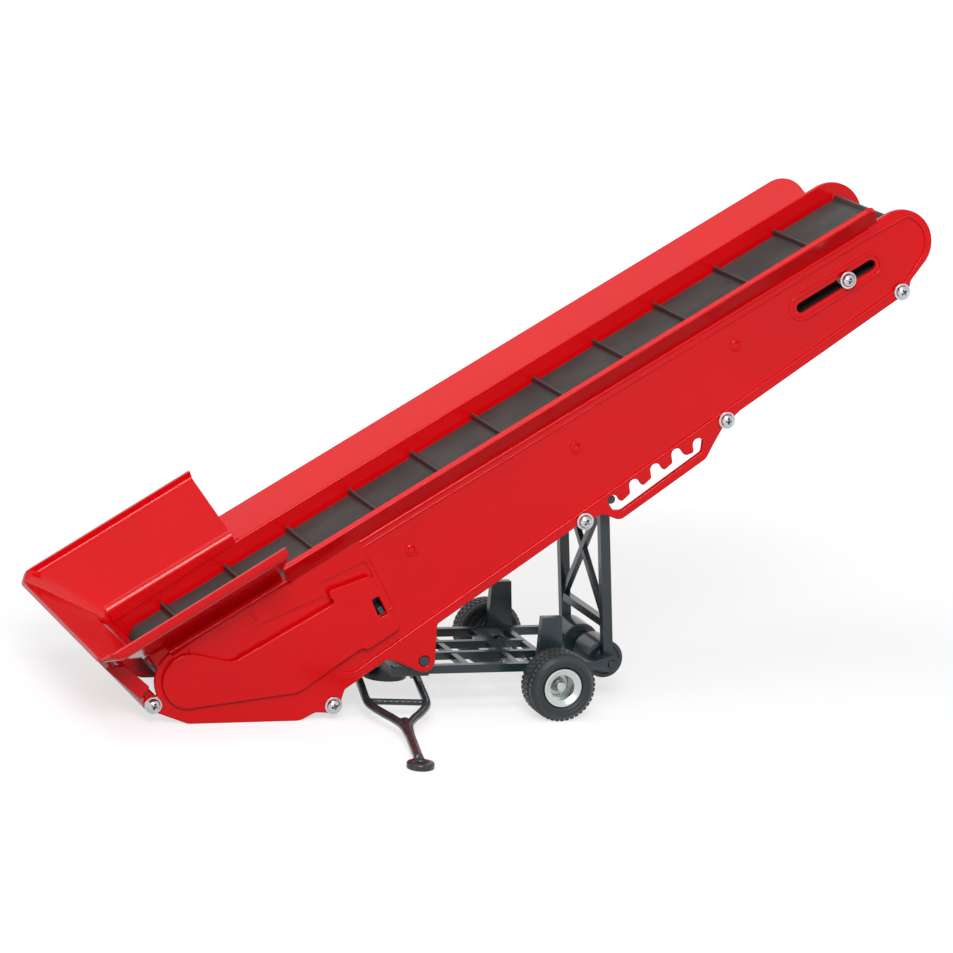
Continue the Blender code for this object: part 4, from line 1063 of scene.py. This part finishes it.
def belt_cleats(sizes):
    """The belt's cleats, with swept feet and rounded ends."""
    tall = sizes.cleat_height / MM
    half = CLEAT_WIDE / 2
    section = [(-half * 2.0, -0.2), (-half * 1.9, 0.05), (-half * 1.15, 0.22), (-half * 0.9, 0.55)]
    section += [(-half * 0.72, tall - 0.3), (-half * 0.45, tall)]
    section += [(-x, lift) for x, lift in section[::-1]]
    cleats = []
    for index in range(CLEATS):
        at = FIRST_CLEAT + BELT_LAP / CLEATS * index
        rings = []
        for across, shrink in ((-1.0, 0.7), (-0.985, 1.0), (0.985, 1.0), (1.0, 0.7)):
            ring = []
            for x, lift in section:
                x0, z0 = belt_point(at + x * shrink, lift * shrink if lift > 0 else lift)
                ring.append((x0, across * (BELT_HALF + 0.4), z0))
            rings.append(ring)
        cleats.append(loft(rings))
    made = piece("belt_cleats", joined(*cleats), "boom", "cleat_rubber", (), 50)


def screw_mesh(face):
    """A pan-head screw with a flange and a cross recess, pointing inwards from a plate."""
    dome = [(0, SHANK_IN), (SHANK_R * 0.5, SHANK_IN), (SHANK_R, SHANK_IN + 0.8), (SHANK_R, face)]
    dome += [(SCREW_R - 0.15, face), (SCREW_R, face + 0.12), (SCREW_R, face + 0.4)]
    dome += [(SCREW_R - 0.15, face + 0.52), (SCREW_R - 0.5, face + 0.55), (SCREW_R - 0.62, face + 0.75)]
    for turn in (20, 35, 50, 65, 80):
        a = radians(turn)
        dome.append(((SCREW_R - 0.6) * cos(a), face + 0.55 + (SCREW_TALL - 0.55) * sin(a)))
    dome.append((0, face + SCREW_TALL))
    head = turned(dome, (0, 0), 1, 40)
    bars = []
    for turn in (0, pi / 2):
        bar = bmesh.new()
        bmesh.ops.create_cone(bar, cap_ends=True, segments=4, radius1=0.45, radius2=RECESS_R, depth=1.7)
        shape = Matrix.Translation((0, face + SCREW_TALL - RECESS_FLOOR, 0)) @ Matrix.Rotation(turn, 4, "Y")
        shape = shape @ Matrix.Rotation(-pi / 2, 4, "X") @ Matrix.Diagonal((1, RECESS_HALF, 1, 1))
        shape = shape @ Matrix.Rotation(pi / 4, 4, "Z")
        bars.append(moved(bar, shape))
    return carved(head, *bars)


def screws():
    """Seven screws: five tie the plates together and two hold the belt's tension bar."""
    places = [("screw_" + word, at, -1, "boom") for word, at in TIES.items()]
    tension = boom(TENSION_AT, SLOT_ABOVE)
    places.append(("tension_screw_near", tension, -1, "tensioner"))
    places.append(("tension_screw_far", tension, 1, "tensioner"))
    for index, (node, (x, z), side, body) in enumerate(places):
        made = screw_mesh(PLATE_OUT + GAP)
        turn = Matrix.Rotation(radians(FIRST_TURN + NEXT_TURN * index), 4, "Y")
        flip = Matrix.Diagonal((1, side, 1, 1))
        moved(made, Matrix.Translation((x, 0, z)) @ flip @ turn)
        piece(node + "_head", made, body, "zinc", (node,), 32)


# ------------------------------------------------------------------ wheels and drawbar


def tyre(side, sizes):
    """A tyre with a smooth side wall and rows of tread blocks."""
    deep = sizes.tread_depth / MM
    base = TYRE_R - deep
    bead = RIM_R + 0.3
    middle = (TYRE_IN + TYRE_OUT) / 2
    half = (TYRE_OUT - TYRE_IN) / 2
    outer = [(bead, half - 0.9), (bead + 0.5, half - 0.35), (bead + 1.3, half - 0.25), (bead + 1.5, half)]
    outer += [(bead + 2.5, half - 0.05), (base - 1.0, half - 0.45), (base - 0.35, half - 1.1)]
    outer += [(base, half - 2.0)]
    profile = [(r, middle + o) for r, o in outer]
    profile += [(r, middle - o) for r, o in outer[::-1]]
    parts = [turned(profile, (AXLE_X, AXLE_Z), side, 72)]
    tall = deep + 0.5
    for offset, stagger, wide in TREAD_ROWS:
        for i in range(TREAD_BLOCKS):
            block = bmesh.new()
            bmesh.ops.create_cube(block, size=1)
            moved(block, Matrix.Diagonal((2 * pi * TYRE_R / TREAD_BLOCKS * 0.74, wide, tall, 1)))
            for vert in block.verts:
                if abs(offset) > 2 and vert.co.y * offset > 0 and vert.co.z > 0:
                    vert.co.z -= 0.3
            lean = Matrix.Rotation(radians(TREAD_LEAN if stagger else -TREAD_LEAN), 4, "Z")
            lift = Matrix.Translation((0, side * (middle + offset), TYRE_R - 0.03 - tall / 2))
            spin = Matrix.Rotation(2 * pi * (i + stagger) / TREAD_BLOCKS, 4, "Y")
            parts.append(moved(block, Matrix.Translation((AXLE_X, 0, AXLE_Z)) @ spin @ lift @ lean))
    tyre_mesh = modified(
        joined(*parts),
        ("BEVEL", {"width": 0.12, "segments": 2, "limit_method": "ANGLE", "angle_limit": radians(55)}),
    )
    word = "near" if side < 0 else "far"
    piece("tyre_tread_" + word, tyre_mesh, "wheel_" + word, "tyre_rubber", ("tyre_" + word,), 40)


def rim(side):
    """A deep dished rim with a flanged lip, hub and bearing nose."""
    face = TYRE_OUT - RIM_FACE
    disc = TYRE_OUT - RIM_DISC
    profile = [(AXLE_HOLE, disc), (RIM_R - 1.6, disc), (RIM_R - 1.6, TYRE_IN + 2.0), (RIM_R, TYRE_IN + 2.0)]
    profile += [(RIM_R, face - 0.5), (RIM_R - 0.12, face - 0.12), (RIM_R - 0.45, face), (RIM_R - 0.7, face)]
    profile += [(RIM_R - 0.9, face - 0.15), (RIM_R - 1.9, face - 0.6), (RIM_R - 2.15, face - 0.8)]
    profile += [(RIM_R - 2.3, face - 1.2), (RIM_R - 2.4, disc + 0.7), (RIM_R - 2.6, disc + 0.5)]
    profile += [(2.3, disc + 0.5), (2.1, disc + 0.7), (2.0, disc + 3.2), (1.85, disc + 3.45)]
    profile += [(1.75, disc + 3.45), (1.6, disc + 3.3), (AXLE_HOLE, disc + 3.2)]
    word = "near" if side < 0 else "far"
    made = turned(profile, (AXLE_X, AXLE_Z), side, 56)
    piece("rim_dish_" + word, made, "wheel_" + word, "silver_plastic", ("rim_" + word,), 30)


def rear_roller():
    """The two small drums that turn on the ladder's shaft."""
    hub, full, edge = DRUM_HUB, REAR_ROLLER_R, DRUM_EDGE
    drum = [(hub, DRUM_FROM + 0.5), (hub + 0.6, DRUM_FROM + 0.4), (hub + 1.0, DRUM_FROM)]
    drum += [(full - edge, DRUM_FROM), (full - 0.1, DRUM_FROM + 0.15), (full, DRUM_FROM + edge)]
    drum += [(full, DRUM_TO - edge), (full - 0.1, DRUM_TO - 0.15), (full - edge, DRUM_TO)]
    drum += [(full - 1.2, DRUM_TO), (full - 1.45, DRUM_TO - 0.35), (hub + 0.3, DRUM_TO - 0.7)]
    drum += [(hub, DRUM_TO - 0.4), (hub - 0.2, DRUM_TO), (SHAFT_HOLE, DRUM_TO)]
    profile = [(radius, -across) for radius, across in drum[::-1]] + drum
    piece("rear_drums", turned(profile, LADDER_FOOT, 1, 56), "roller", "dark_plastic", ("rear_roller",), 32)


def tail_guard():
    """The plate under the hopper's end wall, with a flange at each end."""
    start, end = Vector(GUARD_TOP), Vector(GUARD_FOOT)
    run = (end - start).normalized()
    off = Vector((run.y, -run.x)) * GUARD_THICK
    parts = [slab([[start, end, end + off, start + off]], -PLATE_OUT, PLATE_OUT, 0.3)]
    flange = rounded(GUARD_FLANGE)
    for side in (-1, 1):
        parts.append(side_slab([flange], side, PLATE_IN + 0.1, PLATE_OUT - 0.1, 0.3))
    piece("guard", joined(*parts), "boom", "red_plastic", ("tail_guard",))


def draw_point(distance, across):
    """A point along the sloping drawbar, measured from the drum's axis."""
    x = DRUM[0] - distance * sin(DRAW_TURN) + across * cos(DRAW_TURN)
    y = DRUM[1] - distance * cos(DRAW_TURN) - across * sin(DRAW_TURN)
    return Vector((x, y, DRAW_Z + (DRAW_END_Z - DRAW_Z) * distance / DRAW_LEN))


def drawbar():
    """The forked bar with its knuckles, cross tie, stem and towing eye, grown into one casting."""
    parts = []
    for side in (-1, 1):
        arm = smooth_path([draw_point(distance, side * across) for distance, across in ARM_ROUTE])
        parts.append(tube(arm, ARM_R))
        knuckle = turned([(1.15, -1.15), (2.5, -1.15), (2.5, 1.15), (1.15, 1.15)], (0, 0), 1, 24)
        turn = Matrix.Translation(draw_point(0, side * DRAW_ARM)) @ Matrix.Rotation(-DRAW_TURN, 4, "Z")
        parts.append(moved(knuckle, turn @ Matrix.Rotation(pi / 2, 4, "Z")))
    parts.append(tube([draw_point(TIE_AT, -DRAW_ARM), draw_point(TIE_AT, DRAW_ARM)], TIE_R))
    parts.append(tube([draw_point(STEM_FROM, 0), draw_point(62, 0), draw_point(STEM_TO, 0)], STEM_R))
    eye = slab([circle((0, 0), EYE_R, 40), circle((0, 0), EYE_HOLE, 24)], -EYE_HALF, EYE_HALF, 0.35)
    centre = draw_point(DRAW_LEN, 0)
    centre.z = EYE_HALF + 0.02
    parts.append(moved(eye, Matrix.Translation(centre) @ Matrix.Rotation(pi / 2, 4, "X")))
    bar = modified(
        joined(*parts),
        ("REMESH", {"mode": "VOXEL", "voxel_size": CAST_VOXEL}),
        ("SMOOTH", {"factor": 0.5, "iterations": 5}),
    )
    lowest = min(vert.co.z for vert in bar.verts)
    bmesh.ops.translate(bar, verts=bar.verts, vec=(0, 0, max(0.0, 0.02 - lowest)))
    piece("drawbar_casting", bar, "tow", "dark_plastic", ("drawbar",), 60)


# ------------------------------------------------------------------ stage


def lamp(name, power, size, at):
    """An area light at a place in machine millimetres, turned towards the machine."""
    data = bpy.data.lights.new(name, "AREA")
    data.shape = "RECTANGLE"
    data.size = size[0] * MM
    data.size_y = size[1] * MM
    data.energy = power
    obj = bpy.data.objects.new(name, data)
    bpy.context.scene.collection.objects.link(obj)
    obj.location = ORIGIN + Vector(at) * MM
    obj.rotation_euler = (Vector(LAMPS_AIM) - Vector(at)).to_track_quat("-Z", "Y").to_euler()


def backdrop_rays(nodes):
    """1 for the rays that show the backdrop: seen directly, in a reflection or through glass."""
    path = nodes.add("ShaderNodeLightPath").outputs
    seen = nodes.math("MAXIMUM", path["Is Camera Ray"], path["Is Glossy Ray"])
    return nodes.math("MAXIMUM", seen, path["Is Transmission Ray"])


def sky(strength):
    """Even light all round, seen as plain white."""
    world = bpy.data.worlds.new("sky")
    bpy.context.scene.world = world
    world.use_nodes = True
    nodes = Nodes(world.node_tree)
    background = world.node_tree.nodes["Background"]
    seen = nodes.math("MULTIPLY", backdrop_rays(nodes), 1 - strength)
    level = nodes.math("ADD", seen, strength)
    nodes.tree.links.new(level, background.inputs["Strength"])
    background.inputs["Color"].default_value = (1, 1, 1, 1)


def floor():
    """A wide white floor that keeps the soft shadow."""
    bm = bmesh.new()
    bmesh.ops.create_grid(bm, x_segments=8, y_segments=8, size=FLOOR_HALF)
    data = bpy.data.meshes.new("studio_floor")
    bm.to_mesh(data)
    bm.free()
    obj = bpy.data.objects.new("studio_floor", data)
    bpy.context.scene.collection.objects.link(obj)
    material = bpy.data.materials.new("studio_floor")
    material.use_nodes = True
    nodes = Nodes(material.node_tree)
    shader = material.node_tree.nodes["Principled BSDF"]
    shader.inputs["Base Color"].default_value = FLOOR_COLOUR
    shader.inputs["Roughness"].default_value = 0.9
    shader.inputs["Specular IOR Level"].default_value = 0.0
    shader.inputs["Emission Color"].default_value = (1, 1, 1, 1)
    place = nodes.add("ShaderNodeTexCoord").outputs["Object"]
    reach = nodes.add("ShaderNodeVectorMath", {"Vector": place}, operation="LENGTH").outputs["Value"]
    fade = nodes.add(
        "ShaderNodeMapRange",
        {"Value": reach, "From Min": FADE_FROM, "From Max": FADE_TO, "To Min": FLOOR_GLOW, "To Max": 1.0},
        interpolation_type="SMOOTHSTEP",
    ).outputs["Result"]
    strength = nodes.math("MULTIPLY", backdrop_rays(nodes), fade)
    nodes.tree.links.new(strength, shader.inputs["Emission Strength"])
    data.materials.append(material)
    obj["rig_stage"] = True


def camera():
    """The camera, a little above and to the hopper's side, with its roll."""
    back = Vector(
        (
            sin(CAMERA_TURN) * cos(CAMERA_RISE),
            -cos(CAMERA_TURN) * cos(CAMERA_RISE),
            sin(CAMERA_RISE),
        )
    )
    right = Vector((cos(CAMERA_TURN), sin(CAMERA_TURN), 0))
    up = back.cross(right)
    rolled = right * cos(CAMERA_ROLL) + up * sin(CAMERA_ROLL)
    upright = up * cos(CAMERA_ROLL) - right * sin(CAMERA_ROLL)
    data = bpy.data.cameras.new("camera")
    data.lens = CAMERA_LENS
    data.clip_start = 0.05
    data.clip_end = 30
    obj = bpy.data.objects.new("camera", data)
    bpy.context.scene.collection.objects.link(obj)
    turn = Matrix((rolled, upright, back)).transposed().to_4x4()
    obj.matrix_world = Matrix.Translation(ORIGIN + CAMERA_AT * MM) @ turn
    bpy.context.scene.camera = obj


# ------------------------------------------------------------------ operators


class ELEVATOR_OT_finishes(Operator):
    """Make the shared effects and every finish"""

    bl_idname = "elevator.finishes"
    bl_label = "Finishes"

    def execute(self, context):
        for make in (moulded_skin, edge_wear, settled_dust, rubber_grain, turned_lines):
            make()
        colours = context.scene.elevator_colours
        gloss_red(colours.red)
        satin_dark(colours.dark)
        belt_rubber(colours.belt)
        cleat_rubber(colours.belt)
        tyre_rubber(colours.tyre)
        metal("silver_plastic", colours.silver, 0.95, 0.5, 0.26, 0.01)
        metal("zinc", colours.zinc, 1.0, 0.5, 0.2, 0.015)
        metal("steel", colours.steel, 1.0, 0.5, 0.3, 0.02)
        wrapped_cell(colours.wrap)
        return {"FINISHED"}


class ELEVATOR_OT_plates(Operator):
    """Build both side plates with their boards, racks and slots"""

    bl_idname = "elevator.plates"
    bl_label = "Side plates"

    def execute(self, context):
        for side in (-1, 1):
            side_plate(side, context.scene.elevator_sizes)
        return {"FINISHED"}


class ELEVATOR_OT_cover(Operator):
    """Build the drive cover"""

    bl_idname = "elevator.cover"
    bl_label = "Drive cover"

    def execute(self, context):
        drive_cover(context.scene.elevator_sizes)
        return {"FINISHED"}


class ELEVATOR_OT_hopper(Operator):
    """Build the folded hopper"""

    bl_idname = "elevator.hopper"
    bl_label = "Hopper"

    def execute(self, context):
        hopper_shell(context.scene.elevator_sizes)
        return {"FINISHED"}


class ELEVATOR_OT_guard(Operator):
    """Build the guard under the hopper's end wall"""

    bl_idname = "elevator.guard"
    bl_label = "Tail guard"

    def execute(self, context):
        tail_guard()
        return {"FINISHED"}


class ELEVATOR_OT_belt(Operator):
    """Build the belt and its cleats"""

    bl_idname = "elevator.belt"
    bl_label = "Belt"

    def execute(self, context):
        belt_band()
        belt_cleats(context.scene.elevator_sizes)
        return {"FINISHED"}


class ELEVATOR_OT_screws(Operator):
    """Build the screws"""

    bl_idname = "elevator.screws"
    bl_label = "Screws"

    def execute(self, context):
        screws()
        return {"FINISHED"}


class ELEVATOR_OT_wheels(Operator):
    """Build both tyres and rims and the rear roller"""

    bl_idname = "elevator.wheels"
    bl_label = "Wheels"

    def execute(self, context):
        for side in (-1, 1):
            tyre(side, context.scene.elevator_sizes)
            rim(side)
        rear_roller()
        return {"FINISHED"}


class ELEVATOR_OT_drawbar(Operator):
    """Build the drawbar casting"""

    bl_idname = "elevator.drawbar"
    bl_label = "Drawbar"

    def execute(self, context):
        drawbar()
        return {"FINISHED"}


class ELEVATOR_OT_frame_parts(Operator):
    """Finish the pieces that keep their own shape: chassis, ladder, drive and pins"""

    bl_idname = "elevator.frame_parts"
    bl_label = "Chassis, ladder and drive"

    def execute(self, context):
        hidden = {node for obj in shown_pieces() for node in obj.get("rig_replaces", [])}
        rounding = {"chassis_frame": 0.3, "ladder_frame": 0.3, "turntable": 0.4}
        for part in frame["record"]["subparts"]:
            node = part["node"]
            if node not in hidden:
                dress(node, part["material_slot"], rounding.get(node, 0.2))
        return {"FINISHED"}


class ELEVATOR_OT_stage(Operator):
    """Set the floor, the lights and the camera"""

    bl_idname = "elevator.stage"
    bl_label = "Stage"

    def execute(self, context):
        studio = context.scene.elevator_studio
        sky(studio.sky)
        floor()
        lamp("key", studio.key, KEY_SIZE, KEY_AT)
        lamp("fill", studio.fill, FILL_SIZE, FILL_AT)
        camera()
        context.scene.view_settings.view_transform = "Standard"
        return {"FINISHED"}


BUILD_ORDER = (
    ELEVATOR_OT_finishes,
    ELEVATOR_OT_plates,
    ELEVATOR_OT_cover,
    ELEVATOR_OT_hopper,
    ELEVATOR_OT_guard,
    ELEVATOR_OT_belt,
    ELEVATOR_OT_screws,
    ELEVATOR_OT_wheels,
    ELEVATOR_OT_drawbar,
    ELEVATOR_OT_frame_parts,
    ELEVATOR_OT_stage,
)


class ELEVATOR_PT_panel(Panel):
    """Lists the settings and the steps in the sidebar"""

    bl_idname = "ELEVATOR_PT_panel"
    bl_label = "Belt elevator"
    bl_space_type = "VIEW_3D"
    bl_region_type = "UI"
    bl_category = "Elevator"

    def draw(self, context):
        scene = context.scene
        for group in (scene.elevator_sizes, scene.elevator_colours, scene.elevator_studio):
            box = self.layout.box()
            for name in group.__annotations__:
                box.prop(group, name)
        for operator in BUILD_ORDER:
            self.layout.operator(operator.bl_idname)


CLASSES = (ElevatorSizes, ElevatorColours, ElevatorStudio, *BUILD_ORDER, ELEVATOR_PT_panel)


def register():
    for cls in CLASSES:
        bpy.utils.register_class(cls)
    bpy.types.Scene.elevator_sizes = PointerProperty(type=ElevatorSizes)
    bpy.types.Scene.elevator_colours = PointerProperty(type=ElevatorColours)
    bpy.types.Scene.elevator_studio = PointerProperty(type=ElevatorStudio)


def unregister():
    del bpy.types.Scene.elevator_studio
    del bpy.types.Scene.elevator_colours
    del bpy.types.Scene.elevator_sizes
    for cls in reversed(CLASSES):
        bpy.utils.unregister_class(cls)


def main():
    register()
    for operator in BUILD_ORDER:
        group, name = operator.bl_idname.split(".")
        getattr(getattr(bpy.ops, group), name)()
    bpy.context.view_layer.update()


if __name__ == "__main__":
    main()
